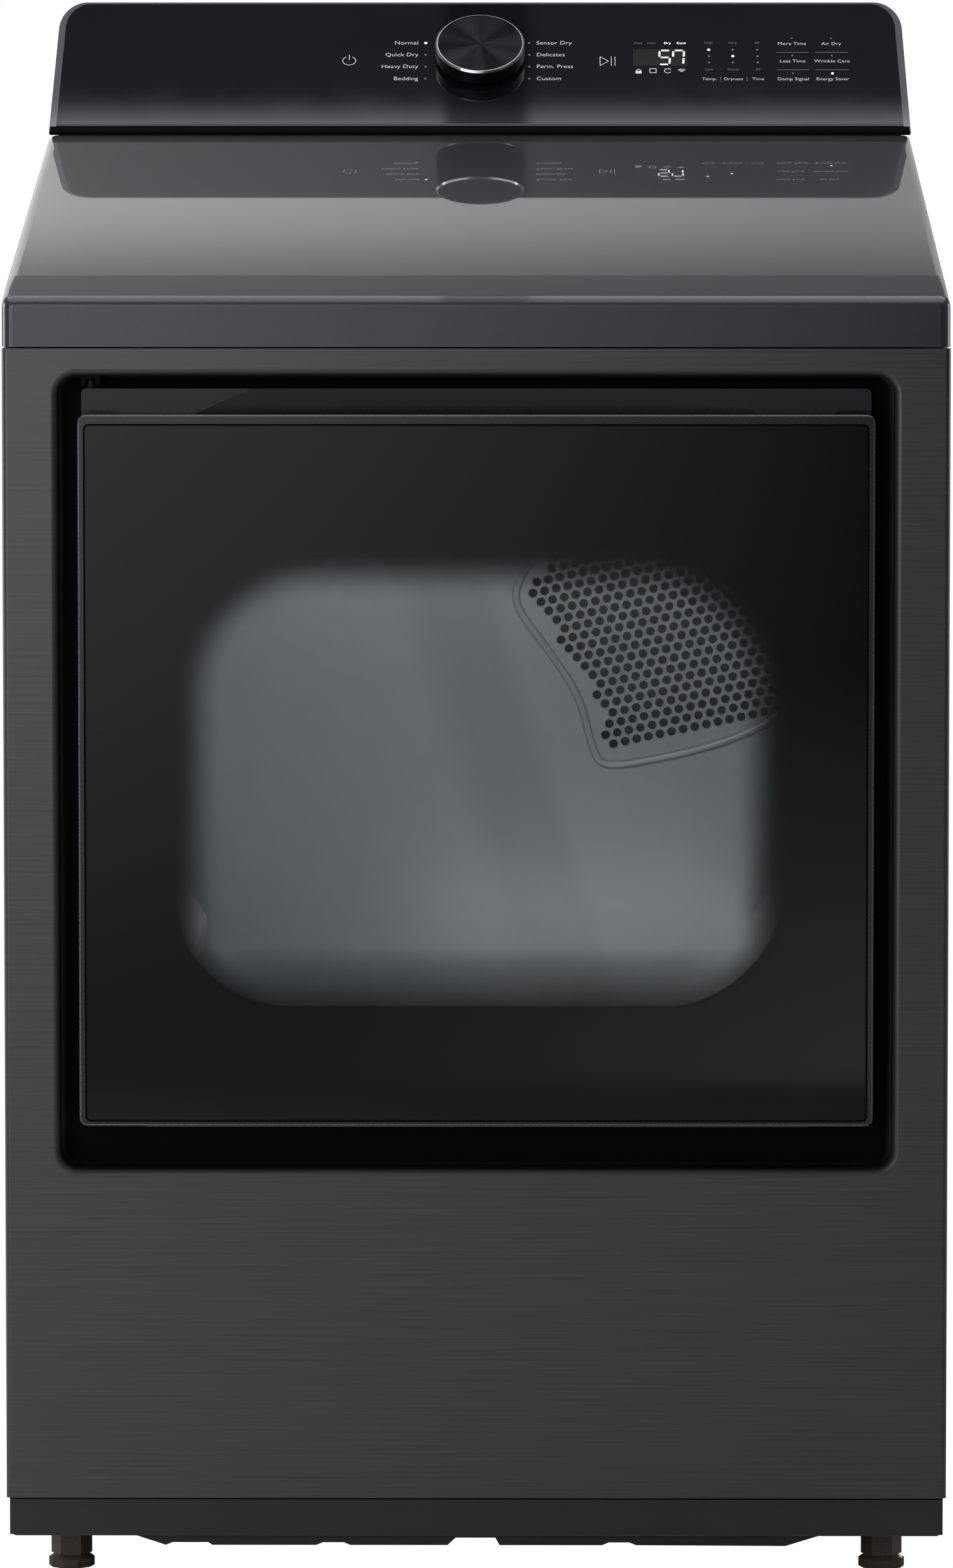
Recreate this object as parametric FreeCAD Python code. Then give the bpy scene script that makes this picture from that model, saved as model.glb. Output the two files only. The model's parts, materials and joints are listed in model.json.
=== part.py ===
import FreeCAD, Part
import math
import os
from FreeCAD import Placement, Rotation, Vector

# Clothes dryer, millimetres. X to the viewer's right, Z up, the door faces -Y.
# Inside this file y is measured back from the front panel's face; save() then moves
# every piece so that the origin is under the middle of the whole machine, on the floor.

# Overall sizes
width = 686.0
cabinet_depth = 700.0
console_top = 1151.0
half = width / 2

# Cabinet
sheet = 1.0
seam = 0.6
base_corner_z = 28.8
panel_bottom = 57.3
cover_bottom = 897.5
panel_top = cover_bottom - 1.2
edge_round = 4.0

# Door recess and mouth
recess_half = 303.0
recess_bottom = 299.0
recess_top = 877.0
recess_depth = 29.0
recess_corner = 14.0
rim_round = 4.5
mouth_half = 240.0
mouth_bottom = 400.0
mouth_top = 790.0
mouth_corner = 110.0

# Door
door_half = 287.0
door_bottom = 332.7
door_top = 847.5
door_proud = 4.0
door_thick = 26.0
glass_thick = 4.2
rail = 24.0
bezel = 4.5
bezel_top = 7.0
handle_top = 867.0
handle_low = 813.0
handle_face = 10.0
grip_half = 250.0
grip_depth = 18.0
grip_low = 823.0
grip_lean = 6.0
pivot_y = 12.0
tilt_z = 342.0
swing_x = -279.0
pin_r = 2.5
running = 0.05
ear_x = 253.0
link_left = swing_x - 4.5
link_right = -256.6
post_top = 350.5
catch_x = 272.0
catch_z = 590.0
switch_z = 690.0

# Top cover and console
cover_wall = 1.5
cover_line_z = 936.0
cover_top = 1045.0
crease_round = 9.0
crease_angle = 17.0
cover_fillet = 8.0
console_depth = 152.0
console_foot = 1048.6
console_taper = 3.5
console_round = 22.0
console_wall = 3.0
control_glass = 3.0
glass_margin = 5.5
knob_r = 35.75
knob_height = 16.0
knob_up = 88.0

# Drum and bulkheads
drum_z = 560.0
drum_r = 316.0
drum_front = 90.0
drum_back = 622.0
bulkhead_y = 84.0
rear_bulkhead_y = 628.0
ring_gap = 6.0
seal_gap = 0.3
roller_r = 32.0
roller_wide = 18.0
roller_angle = 32.0
axle_r = 6.0
baffle_high = 55.0
grille = [(48, 712), (24, 676), (34, 655), (69, 611), (85, 580), (92, 535), (112, 533),
          (262, 566), (258, 640), (214, 728), (150, 776), (90, 774)]
grille_margin = 13.0
hole_r = 3.5
hole_pitch = 9.6
hole_turn = 12.0

# Drive and air path
motor_x = 215.0
motor_z = 130.0
motor_r = 60.0
shaft_r = 6.0
pulley_r = 12.0
idler_x = 140.0
idler_z = 125.0
idler_r = 26.0
idler_pivot_x = 78.0
idler_pivot_z = 118.0
belt_y = 330.0
belt_wide = 8.0
belt_thick = 2.4
wheel_r = 74.0
duct_z = 110.0
duct_r = 49.0
collar_r = 50.4
collar_out = 29.0
cord_x = -250.0
cord_z = 730.0
cord_hole_r = 14.3
filter_clear = 8.0
filter_y = 64.0
filter_thick = 14.0
filter_deep = 152.0

# Feet
foot_x = 297.7
foot_setback = 40.0
foot_r = 16.8
stud_r = 4.8

front_y = -(cabinet_depth + collar_out - door_proud) / 2
console_y = cabinet_depth - console_depth
rise = console_top - console_foot
recline = 40.8
mouth_mid = (mouth_bottom + mouth_top) / 2
filter_half = mouth_half - mouth_corner - filter_clear
inner_half = half - sheet


def box(x0, x1, y0, y1, z0, z1):
    return Part.makeBox(x1 - x0, y1 - y0, z1 - z0, Vector(x0, y0, z0))


def rod(axis, r, start, length):
    return Part.makeCylinder(r, length, Vector(*start), Vector(*axis))


def rod_y(x, z, r, y0, y1):
    return rod((0, 1, 0), r, (x, y0, z), y1 - y0)


def rod_z(x, y, r, z0, z1):
    return rod((0, 0, 1), r, (x, y, z0), z1 - z0)


def rod_x(y, z, r, x0, x1):
    return rod((1, 0, 0), r, (x0, y, z), x1 - x0)


def edges_along(shape, axis):
    """Straight edges that run along one axis."""
    found = []
    for edge in shape.Edges:
        step = edge.Vertexes[-1].Point - edge.Vertexes[0].Point
        if step.Length > 1e-6 and abs(step.dot(Vector(*axis))) > 0.999 * step.Length:
            found.append(edge)
    return found


def slab(half_x, z0, z1, r, y0, y1):
    """A plate facing the front, with its four corners rounded."""
    plate = box(-half_x, half_x, y0, y1, z0, z1)
    return plate.makeFillet(r, edges_along(plate, (0, 1, 0)))


def ring_y(x, z, r_in, r_out, y0, y1):
    return rod_y(x, z, r_out, y0, y1).cut(rod_y(x, z, r_in, y0 - 1, y1 + 1))


def prism_x(points, x0, x1):
    """A side profile of (y, z) points drawn out along X."""
    corners = [Vector(x0, y, z) for y, z in points]
    face = Part.Face(Part.makePolygon(corners + corners[:1]))
    return face.extrude(Vector(x1 - x0, 0, 0))


def prism_y(points, y0, y1):
    """A front profile of (x, z) points drawn out along Y."""
    corners = [Vector(x, y0, z) for x, z in points]
    face = Part.Face(Part.makePolygon(corners + corners[:1]))
    return face.extrude(Vector(0, y1 - y0, 0))


def mirrored(shape):
    return shape.mirror(Vector(0, 0, 0), Vector(1, 0, 0))


def join(shapes):
    """Fuse overlapping shapes into one solid."""
    return shapes[0].fuse(shapes[1:]).removeSplitter()


def save(name, *shapes):
    """Write one node, moved so that the origin is under the machine's middle."""
    shape = shapes[0] if len(shapes) == 1 else Part.makeCompound(list(shapes))
    shape = shape.copy()
    shape.translate(Vector(0, front_y, 0))
    shape.exportStep("parts/" + name + ".step")


# ---- cabinet ----

def make_side_panels():
    y0 = recess_depth + sheet + seam
    y1 = cabinet_depth - sheet - 0.2
    lap = 18.0
    side = join([
        box(inner_half, half, y0, y1, panel_bottom, panel_top),
        box(half - lap, half, y0, y0 + sheet, panel_bottom, panel_top),
        box(half - lap, half, y1 - sheet, y1, panel_bottom, panel_top),
        box(half - lap, half, y0, y1, panel_bottom, panel_bottom + sheet),
    ])
    save("right_side_panel", side)
    save("left_side_panel", mirrored(side))


def make_front_panel():
    depth = recess_depth + sheet
    skin = box(-half, half, 0, depth, panel_bottom, panel_top)
    skin = skin.makeFillet(edge_round, front_corners(skin, 0))
    skin = skin.cut(slab(recess_half, recess_bottom, recess_top, recess_corner, -1, recess_depth))
    skin = skin.makeFillet(rim_round, rim_edges(skin, 0, recess_half))
    hollow = box(-inner_half, inner_half, sheet, depth + 1, panel_bottom + sheet, panel_top - sheet)
    hollow = hollow.makeFillet(edge_round - sheet, front_corners(hollow, sheet))
    tub = slab(recess_half + sheet, recess_bottom - sheet, recess_top + sheet,
               recess_corner + sheet, -1, depth + 2)
    hollow = hollow.cut(tub)
    hollow = hollow.makeFillet(rim_round - sheet, rim_edges(hollow, sheet, recess_half + sheet))
    panel = skin.cut(hollow)
    panel = panel.cut(slab(mouth_half, mouth_bottom, mouth_top, mouth_corner, recess_depth - 1, depth + 1))
    panel = panel.cut(box(catch_x - 8, catch_x + 8, recess_depth - 1, depth + 1, catch_z - 16, catch_z + 16))
    panel = panel.cut(rod_y(catch_x, switch_z, 4.6, recess_depth - 1, depth + 1))
    save("front_panel", panel)


def front_corners(shape, y):
    """The two upright edges on the front face of a box."""
    return [e for e in edges_along(shape, (0, 0, 1)) if abs(e.Vertexes[0].Y - y) < 0.01]


def rim_edges(shape, y, half_x):
    """The edges round the recess, where it meets the face at depth y."""
    return [e for e in shape.Edges
            if all(abs(v.Y - y) < 0.01 and abs(v.X) < half_x + 0.1
                   and recess_bottom - 2 < v.Z < recess_top + 2 for v in e.Vertexes)]


def make_rear_panel():
    panel = box(-half, half, cabinet_depth - sheet, cabinet_depth, panel_bottom, panel_top)
    panel = panel.cut(rod_y(0, duct_z, collar_r + 0.5, cabinet_depth - 2, cabinet_depth + 1))
    panel = panel.cut(rod_y(cord_x, cord_z, cord_hole_r, cabinet_depth - 2, cabinet_depth + 1))
    slots = []
    for column in (-250.0, -190.0):
        for row in range(10):
            z = 420.0 + 16.0 * row
            slots.append(box(column, column + 44.0, cabinet_depth - 2, cabinet_depth + 1, z, z + 4.5))
    save("rear_panel", panel.cut(Part.makeCompound(slots)))


def make_base_pan():
    """A pressed tray with ribs, two upright brackets and the motor's cradle."""
    under = [(-half + 2, base_corner_z), (-251, base_corner_z), (-227, 21), (-222, 23), (-196, 23),
             (-193, 21), (-117, 21), (-112, 23), (-97, 23), (-92, 21), (-21, 21), (-15, 26.5),
             (14, 26.5), (17, 21), (92, 21), (97, 23), (112, 23), (117, 21), (226, 20.5),
             (253, base_corner_z), (half - 2, base_corner_z)]
    over = [(x, z + 1.4) for x, z in reversed(under)]
    y0 = 8.0
    y1 = cabinet_depth - sheet - 1
    floor = prism_y(under + over, y0, y1)
    top = panel_bottom - 1.0
    walls = [box(-half + 2, -half + 3.4, y0, y1, base_corner_z, top),
             box(half - 3.4, half - 2, y0, y1, base_corner_z, top)]
    for y in (y0, y1 - 1.4):
        front = prism_y(under + [(half - 2, top), (-half + 2, top)], y, y + 1.4)
        walls.append(front)
    arm_y = belt_y + 12.0
    post = box(idler_pivot_x - 8, idler_pivot_x + 8, arm_y, arm_y + 4, 21.5, idler_pivot_z + 8)
    pin = rod_y(idler_pivot_x, idler_pivot_z, 4.0, arm_y - 9, arm_y + 1)
    cradles = []
    for y in (205.0, 285.0):
        plate = box(motor_x - 55, motor_x + 55, y, y + 3, 21, motor_z - 10)
        cradles.append(plate.cut(rod_y(motor_x, motor_z, motor_r, y - 1, y + 4)))
    pan = join([floor] + walls + [post, pin] + cradles)
    for x in (-foot_x, foot_x):
        for y in (foot_setback, cabinet_depth - foot_setback):
            pan = pan.cut(rod_z(x, y, stud_r + 0.4, 20, 40))
    save("base_pan", pan)


def make_toe_kick():
    z0 = base_corner_z
    z1 = panel_bottom - 1.8
    x = half - 2.5
    strip = box(-x, x, 3.5, 7.5, z0, z1)
    low = [e for e in edges_along(strip, (0, 1, 0)) if e.Vertexes[0].Z < z0 + 1]
    strip = strip.makeFillet(5.0, low)
    hollow = box(-x + 1.2, x - 1.2, 4.7, 8, z0 + 1.2, z1 - 1.2)
    save("toe_kick", strip.cut(hollow))


def cover_solid(inset, x):
    """The cover's outside, or its inside when inset by the wall."""
    slope = math.atan2(cover_top - cover_line_z, console_y)
    r = crease_round - inset
    start = math.radians(90 + crease_angle)
    cy = crease_round
    cz = cover_line_z - crease_round - 1.0
    low = Vector(x, inset, cover_bottom - (1 if inset else 0))
    a = Vector(x, inset, cz)
    b = Vector(x, cy + r * math.cos(math.radians(145)), cz + r * math.sin(math.radians(145)))
    c = Vector(x, cy + r * math.cos(start), cz + r * math.sin(start))
    lift = inset / math.cos(slope)
    mid = (math.radians(crease_angle) + slope) / 2
    run = (cover_line_z - lift + c.y * math.tan(slope) - c.z) / (math.tan(mid) - math.tan(slope))
    d = Vector(x, c.y + run, c.z + run * math.tan(mid))
    bow = (math.radians(crease_angle) - slope) / 8 * run
    m = Vector(x, c.y + run / 2, c.z + run / 2 * math.tan(mid) + bow)
    e = Vector(x, console_y, cover_top - lift)
    f = Vector(x, cabinet_depth - sheet - inset, cover_top - lift)
    g = Vector(x, cabinet_depth - sheet - inset, low.z)
    outline = Part.Wire([Part.makeLine(low, a), Part.Arc(a, b, c).toShape(), Part.Arc(c, m, d).toShape(),
                         Part.makeLine(d, e), Part.makeLine(e, f), Part.makeLine(f, g),
                         Part.makeLine(g, low)])
    body = Part.Face(outline).extrude(Vector(-2 * x, 0, 0))
    edges = []
    for edge in body.Edges:
        box_ = edge.BoundBox
        upright_rear = box_.YMin > console_y + 1 and box_.ZMin < cover_top - 60
        if box_.XLength < 0.01 and box_.ZMax > low.z + 1 and not upright_rear:
            edges.append(edge)
    return body.makeFillet(cover_fillet - inset, edges)


def make_top_cover():
    cover = cover_solid(0.0, half).cut(cover_solid(cover_wall, half - cover_wall))
    for x in (-200.0, 200.0):
        cover = cover.cut(box(x - 20, x + 20, console_y + 60, console_y + 100, cover_top - 10, cover_top + 5))
    save("top_cover", cover)


# ---- console ----

def on_panel(shape):
    """Place a piece drawn on the control panel: x across, y up the slope, z outwards."""
    shape = shape.copy()
    shape.Placement = Placement(Vector(0, console_y, console_foot), Rotation(Vector(1, 0, 0), recline))
    return shape


slant = rise / math.sin(math.radians(recline))


def console_outline(margin, y0, y1):
    """The console seen from the front: sides that lean in, rounded top corners."""
    foot = half - 0.5 - margin
    head = foot - console_taper
    points = [(-foot, console_foot - 10), (foot, console_foot - 10),
              (head, console_top - margin * 0.25), (-head, console_top - margin * 0.25)]
    block = prism_y(points, y0, y1)
    top = [e for e in edges_along(block, (0, 1, 0)) if e.Vertexes[0].Z > console_foot]
    return block.makeFillet(console_round - margin * 0.5, top)


def make_console():
    a = math.radians(recline)
    run = rise / math.tan(a)
    back = cabinet_depth - sheet
    foot = cover_top + 0.8
    low_y = console_y - 0.8
    shape = prism_x([(low_y, foot), (console_y, console_foot), (console_y + run, console_top),
                     (back - 12, console_top), (back, console_top - 12), (back, foot)], -half, half)
    shape = shape.common(console_outline(0.0, console_y - 20, cabinet_depth + 20))
    w = console_wall
    off = (w + control_glass + 0.4) / math.sin(a)
    y_low = console_y + (foot - 2 - console_foot) / math.tan(a) + off
    y_high = console_y + (console_top - w - console_foot) / math.tan(a) + off
    inside = prism_x([(y_low, foot - 2), (y_high, console_top - w), (back - 14, console_top - w),
                      (back - w, console_top - 14), (back - w, foot - 2)], -half, half)
    inside = inside.common(console_outline(w, console_y - 20, cabinet_depth + 20))
    housing = shape.cut(inside)
    housing = housing.cut(glass_slab(0.2, control_glass + 0.1, 5.0))
    housing = housing.cut(on_panel(Part.makeCylinder(9.0, 30, Vector(0, knob_up, -15))))
    window = box(-320, 320, back - w - 1, back + 1, console_foot + 10, console_top - 24)
    housing = housing.cut(window)
    save("console_housing", housing)
    glass = glass_slab(0.0, control_glass, 0.0)
    glass = glass.cut(on_panel(Part.makeCylinder(4.5, 30, Vector(0, knob_up, -15))))
    save("console_glass", glass)
    cover = box(-328, 328, back, back + sheet, console_foot + 4, console_top - 18)
    slots = [box(x, x + 30, back - 1, back + 3, console_top - 40, console_top - 36)
             for x in (-250, -190, 160, 220)]
    save("console_rear_cover", cover.cut(Part.makeCompound(slots)))


def glass_slab(grow, deep, proud):
    """The control glass, or the pocket that it drops into when grown."""
    flat = on_panel(Part.makeBox(width, slant - 1.2 + 2 * grow, deep + proud, Vector(-half, 0.6 - grow, -deep)))
    return flat.common(console_outline(glass_margin - grow, console_y - 20, cabinet_depth + 20))


def make_control_board():
    board = Part.makeBox(540, 84, 1.6, Vector(-270, 28, -17))
    encoder = Part.makeBox(16, 16, 8, Vector(-8, knob_up - 8, -15.4))
    encoder = encoder.cut(Part.makeCylinder(3.0 + running, 30, Vector(0, knob_up, -25)))
    board = board.cut(Part.makeCylinder(3.6, 30, Vector(0, knob_up, -30)))
    pieces = [board, encoder, Part.makeBox(92, 30, 8, Vector(122, knob_up - 24, -15.4))]
    for x in (-240.0, -200.0, -160.0, -110.0):
        pieces.append(Part.makeBox(24, 18, 10, Vector(x, 40, -27)))
    for x in (60.0, 90.0):
        pieces.append(Part.makeCylinder(7, 9, Vector(x, 45, -26)))
    save("control_board", *[on_panel(piece) for piece in pieces])


def make_knob():
    axis = Vector(0, knob_up, 0)
    skirt = Part.makeCylinder(31.0, 3.4, axis + Vector(0, 0, 0.6))
    body = Part.makeCylinder(knob_r - 2.0, knob_height - 6.0, axis + Vector(0, 0, 4.0))
    stem = Part.makeCylinder(3.0, 15.0, axis + Vector(0, 0, -14.0))
    save("knob_body", on_panel(join([skirt, body, stem])))
    rim = Part.makeCylinder(knob_r, knob_height - 4.0, axis + Vector(0, 0, 4.0))
    rim = rim.makeChamfer(1.2, [e for e in rim.Edges if e.BoundBox.ZLength < 0.1 and e.BoundBox.ZMin > 10])
    rim = rim.cut(Part.makeCylinder(knob_r - 2.0, knob_height, axis + Vector(0, 0, 3.0)))
    save("knob_rim", on_panel(rim))
    face = Part.makeCylinder(knob_r - 2.0, 1.4, axis + Vector(0, 0, knob_height - 2.0))
    save("knob_face", on_panel(face))


# ---- door ----

def make_door_glass():
    slab_ = slab(door_half - bezel, door_bottom + bezel - 1.2, door_top - bezel_top,
                 2.0, -door_proud, glass_thick - door_proud)
    save("door_glass", slab_)


def make_door_frame():
    front = slab(door_half, door_bottom, door_top, 4.0, -door_proud, 4.0)
    rear = slab(door_half - 1, door_bottom + 0.8, handle_low - 0.5, 4.0, 3.5, 22.0)
    lip = box(-240, 241, 0, 6, door_bottom - 2.5, door_bottom + 2)
    frame = join([front, rear, lip])
    gap = 0.3
    frame = frame.cut(slab(door_half - bezel + gap, door_bottom + bezel - 1.2 - gap,
                           door_top - bezel_top + gap, 2.3, -door_proud - 1, glass_thick - door_proud))
    frame = frame.cut(slab(door_half - rail, door_bottom + rail, handle_low - rail, 20.0, -5, 23))
    frame = frame.cut(box(-door_half - 3, link_right + 4, 4.6, 23, door_bottom + 1.7, post_top + 0.5))
    for x in (-ear_x, ear_x):
        frame = frame.cut(box(x - 6, x + 6, 4.6, 23, door_bottom - 3, post_top + 0.5))
    frame = frame.cut(rod_z(swing_x, pivot_y, pin_r, post_top, post_top + 20))
    frame = frame.cut(rod_x(pivot_y, tilt_z, pin_r, ear_x - 11, ear_x + 11))
    save("door_frame", frame)


def make_door_liner():
    liner = slab(door_half - 4, tilt_z + 1, door_top - 2.5, 6.0, 22.2, door_thick)
    liner = liner.cut(slab(mouth_half - 14, mouth_bottom + 14, mouth_top - 14, mouth_corner - 14, 20, 30))
    for x in (-ear_x - 16, ear_x):
        liner = liner.cut(box(x - 22, x + 22, 20, 30, tilt_z - 5, tilt_z + 32))
    save("door_liner", liner)


def make_door_window():
    """The clear bowl that fills the mouth behind the glass."""
    def bowl(shrink, y0, y1):
        wires = []
        for y, inset in ((y0, 16.0), (y1, 32.0)):
            plate = slab(mouth_half - inset - shrink, mouth_bottom + inset + shrink,
                         mouth_top - inset - shrink, mouth_corner - inset - shrink, y, y + 1)
            face = min(plate.Faces, key=lambda f: f.CenterOfMass.y)
            wires.append(face.OuterWire)
        return Part.makeLoft(wires, True)
    flange = slab(mouth_half - 4, mouth_bottom + 4, mouth_top - 4, mouth_corner - 4, 18.4, 21.8)
    shape = join([flange, bowl(0.0, 20.0, 60.0)])
    save("door_window", shape.cut(bowl(3.0, 17.0, 57.0)))


def make_door_handle():
    grip = join([slab(door_half - 1, handle_low, handle_top, 4.0, handle_face, 22.0),
                 box(-door_half + 1, door_half - 1, 4.2, 12, handle_low, door_top)])
    # the finger scoop is a shallow hollow across the door that deepens behind the top rail
    reach = grip_depth - handle_face
    bend = (grip_half ** 2 + reach ** 2) / (2 * reach)
    scoop = rod_z(0, grip_depth - bend, bend, grip_low, grip_low + 120)
    scoop.rotate(Vector(0, grip_depth, grip_low), Vector(1, 0, 0), grip_lean)
    grip = grip.cut(scoop)
    for side in (-1, 1):
        points = [(side * 258, door_top), (side * 262, door_top + 3.5),
                  (side * 290, door_top + 3.5), (side * 290, door_top)]
        grip = grip.cut(prism_y(points, handle_face - 8, handle_face + 6))
    save("door_handle", grip)


def make_door_gasket():
    outer = slab(mouth_half + 20, mouth_bottom - 20, mouth_top + 20, mouth_corner + 20, door_thick, 28.5)
    inner = slab(mouth_half + 11, mouth_bottom - 11, mouth_top + 11, mouth_corner + 11, 25, 30)
    save("door_gasket", outer.cut(inner))


def make_door_pins():
    upper = rod_z(swing_x, pivot_y, 3.0, handle_top, handle_top + 6.0)
    lower = rod_x(pivot_y, tilt_z, pin_r, ear_x - 10, ear_x + 10)
    swing = rod_z(swing_x, pivot_y, pin_r, tilt_z + pin_r + 1.5, post_top + 20)
    save("door_pivot_pins", upper, lower, swing)


def make_hinge():
    """The corner block turns on a level pin in the bracket and holds the door's upright pin."""
    block = join([rod_x(pivot_y, tilt_z, 5.5, link_left, link_right),
                  box(link_left, swing_x + 4.5, pivot_y - 4.5, pivot_y + 4.5, tilt_z, post_top)])
    block = block.cut(rod_x(pivot_y, tilt_z, pin_r + running, link_left - 1, link_right + 1))
    block = block.cut(rod_z(swing_x, pivot_y, pin_r + running, tilt_z + pin_r + 1.3, post_top + 1))
    save("corner_hinge", block)
    save("tilt_pin", rod_x(pivot_y, tilt_z, pin_r, link_left + 0.5, -ear_x + 3.0))
    ear = join([rod_x(pivot_y, tilt_z, 6.0, -ear_x - 3, -ear_x + 3),
                box(-ear_x - 3, -ear_x + 3, pivot_y, 28.4, tilt_z - 5, tilt_z + 5),
                box(-ear_x - 9, -ear_x + 15, 27.2, recess_depth, tilt_z - 16, tilt_z + 18)])
    ear = ear.cut(rod_x(pivot_y, tilt_z, pin_r, -ear_x - 4, -ear_x + 3))
    fork = join([rod_x(pivot_y, tilt_z, 6.0, ear_x - 3, ear_x + 3),
                 box(ear_x - 3, ear_x + 3, pivot_y, 28.4, tilt_z - 5, tilt_z + 5),
                 box(ear_x - 15, ear_x + 9, 27.2, recess_depth, tilt_z - 16, tilt_z + 18)])
    fork = fork.cut(join([rod_x(pivot_y, tilt_z, pin_r + 0.5, ear_x - 4, ear_x + 4),
                          box(ear_x - 4, ear_x + 4, 0, pivot_y, tilt_z - 3, tilt_z + 3)]))
    top = box(swing_x - 7, swing_x + 7, pivot_y - 4.5, 27, handle_top + 2.5, recess_top)
    top = top.cut(join([rod_z(swing_x, pivot_y, 3.5, handle_top, handle_top + 7),
                        box(swing_x - 3.5, swing_x + 3.5, 0, pivot_y, handle_top, handle_top + 7)]))
    save("hinge_brackets", ear, fork, top)


def make_latch():
    strike = join([box(catch_x - 4, catch_x + 4, door_thick, 44, catch_z - 9, catch_z + 9),
                   box(catch_x - 6, catch_x + 6, door_thick, door_thick + 1.5, catch_z - 12, catch_z + 12)])
    save("door_strike", strike)
    y0 = recess_depth + sheet + 0.2
    shell = box(catch_x - 12, catch_x + 12, y0, 62, catch_z - 20, catch_z + 20)
    save("door_catch", shell.cut(box(catch_x - 8.5, catch_x + 8.5, y0 - 1, 59, catch_z - 16.5, catch_z + 16.5)))
    housing = box(catch_x - 10, catch_x + 10, y0, 54, switch_z - 10, switch_z + 10)
    save("door_switch", housing.cut(rod_y(catch_x, switch_z, 4.0 + running, y0 - 1, 50)))
    save("door_switch_plunger", rod_y(catch_x, switch_z, 4.0, door_thick + 0.7, 46))


# ---- bulkheads and drum ----

def make_front_bulkhead():
    y = bulkhead_y
    t = 1.5
    ring_out = drum_r - 1 - ring_gap
    plate = box(-inner_half + 0.5, inner_half - 0.5, y, y + t, panel_bottom + 2, panel_top - 4)
    ring = ring_y(0, drum_z, ring_out - t, ring_out, y, y + 20)
    tube = slab(mouth_half + t, mouth_bottom - t, mouth_top + t, mouth_corner + t, recess_depth + 2, y + t)
    wall = join([plate, ring, tube])
    wall = wall.cut(slab(mouth_half, mouth_bottom, mouth_top, mouth_corner, 0, y + 5))
    slot_half = filter_half + 4
    wall = wall.cut(box(-slot_half, slot_half, filter_y - 2, filter_y + filter_thick + 2,
                        mouth_bottom - 5, mouth_bottom + 1))
    wall = wall.cut(rod_y(motor_x, motor_z, 50.0, y - 1, y + 5))
    save("front_bulkhead", wall)


def inside_grille(x, z, margin):
    """True where a point is inside the grille's outline by the margin."""
    inside = False
    nearest = width
    for (x0, z0), (x1, z1) in zip(grille, grille[1:] + grille[:1]):
        if (z0 > z) != (z1 > z) and x < x0 + (z - z0) * (x1 - x0) / (z1 - z0):
            inside = not inside
        along = (x - x0) * (x1 - x0) + (z - z0) * (z1 - z0)
        share = min(max(along / ((x1 - x0) ** 2 + (z1 - z0) ** 2), 0.0), 1.0)
        nearest = min(nearest, math.hypot(x - x0 - share * (x1 - x0), z - z0 - share * (z1 - z0)))
    return inside and nearest > margin


def make_rear_bulkhead():
    y = rear_bulkhead_y
    t = 1.5
    low = panel_bottom + 2
    high = panel_top - 4
    corners = [Vector(x, y, z) for x, z in ((-inner_half + 1, low), (inner_half - 1, low),
                                            (inner_half - 1, high), (-inner_half + 1, high))]
    wires = [Part.makePolygon(corners + corners[:1])]
    turn = math.radians(hole_turn)
    for row in range(-22, 23):
        for column in range(-22, 23):
            u = (column + 0.5 * (row % 2)) * hole_pitch
            v = row * hole_pitch * math.sqrt(3) / 2
            x = 150 + u * math.cos(turn) - v * math.sin(turn)
            z = 655 + u * math.sin(turn) + v * math.cos(turn)
            if inside_grille(x, z, grille_margin):
                wires.append(Part.Wire(Part.makeCircle(hole_r, Vector(x, y, z), Vector(0, 1, 0))))
    plate = Part.makeFace(wires, "Part::FaceMakerBullseye").extrude(Vector(0, t, 0))
    plate = plate.cut(box(-duct_r - 2, duct_r + 2, y - 1, y + t + 1, low - 1, duct_z + duct_r + 2))
    ring_out = drum_r - 1 - ring_gap
    ring = ring_y(0, drum_z, ring_out - t, ring_out, y - 22, y + t / 2)
    save("rear_bulkhead", plate.fuse(ring))


def make_drum():
    r = drum_r
    a = drum_front
    b = drum_back
    outer = [(r, a), (r, a + 50), (r + 2, a + 55), (r + 2, a + 70), (r, a + 75),
             (r, b - 75), (r + 2, b - 70), (r + 2, b - 55), (r, b - 50), (r, b)]
    inner = [(radius - sheet, y) for radius, y in reversed(outer)]
    points = [Vector(radius, y, drum_z) for radius, y in outer + inner]
    face = Part.Face(Part.makePolygon(points + points[:1]))
    save("drum_shell", face.revolve(Vector(0, 0, drum_z), Vector(0, 1, 0), 360))
    baffles = []
    for turn in (0, 120, 240):
        profile = [(-42, drum_z + r), (-30, drum_z + r - baffle_high + 12), (-14, drum_z + r - baffle_high),
                   (14, drum_z + r - baffle_high), (30, drum_z + r - baffle_high + 12), (42, drum_z + r)]
        core = [(x * 0.9, z + 4) for x, z in profile]
        fin = prism_y(profile, a + 50, b - 50).common(rod_y(0, drum_z, r - sheet, a, b))
        fin = fin.cut(prism_y(core, a + 54, b - 54))
        fin.rotate(Vector(0, 0, drum_z), Vector(0, 1, 0), turn)
        baffles.append(fin)
    save("drum_baffles", *baffles)


def make_seals():
    r_in = drum_r - 1 - ring_gap + 0.2
    r_out = drum_r - 1 - seal_gap
    front = ring_y(0, drum_z, r_in, r_out, drum_front + 2, drum_front + 12)
    rear = ring_y(0, drum_z, r_in, r_out, drum_back - 12, drum_back - 2)
    save("drum_seals", front, rear)


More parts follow.
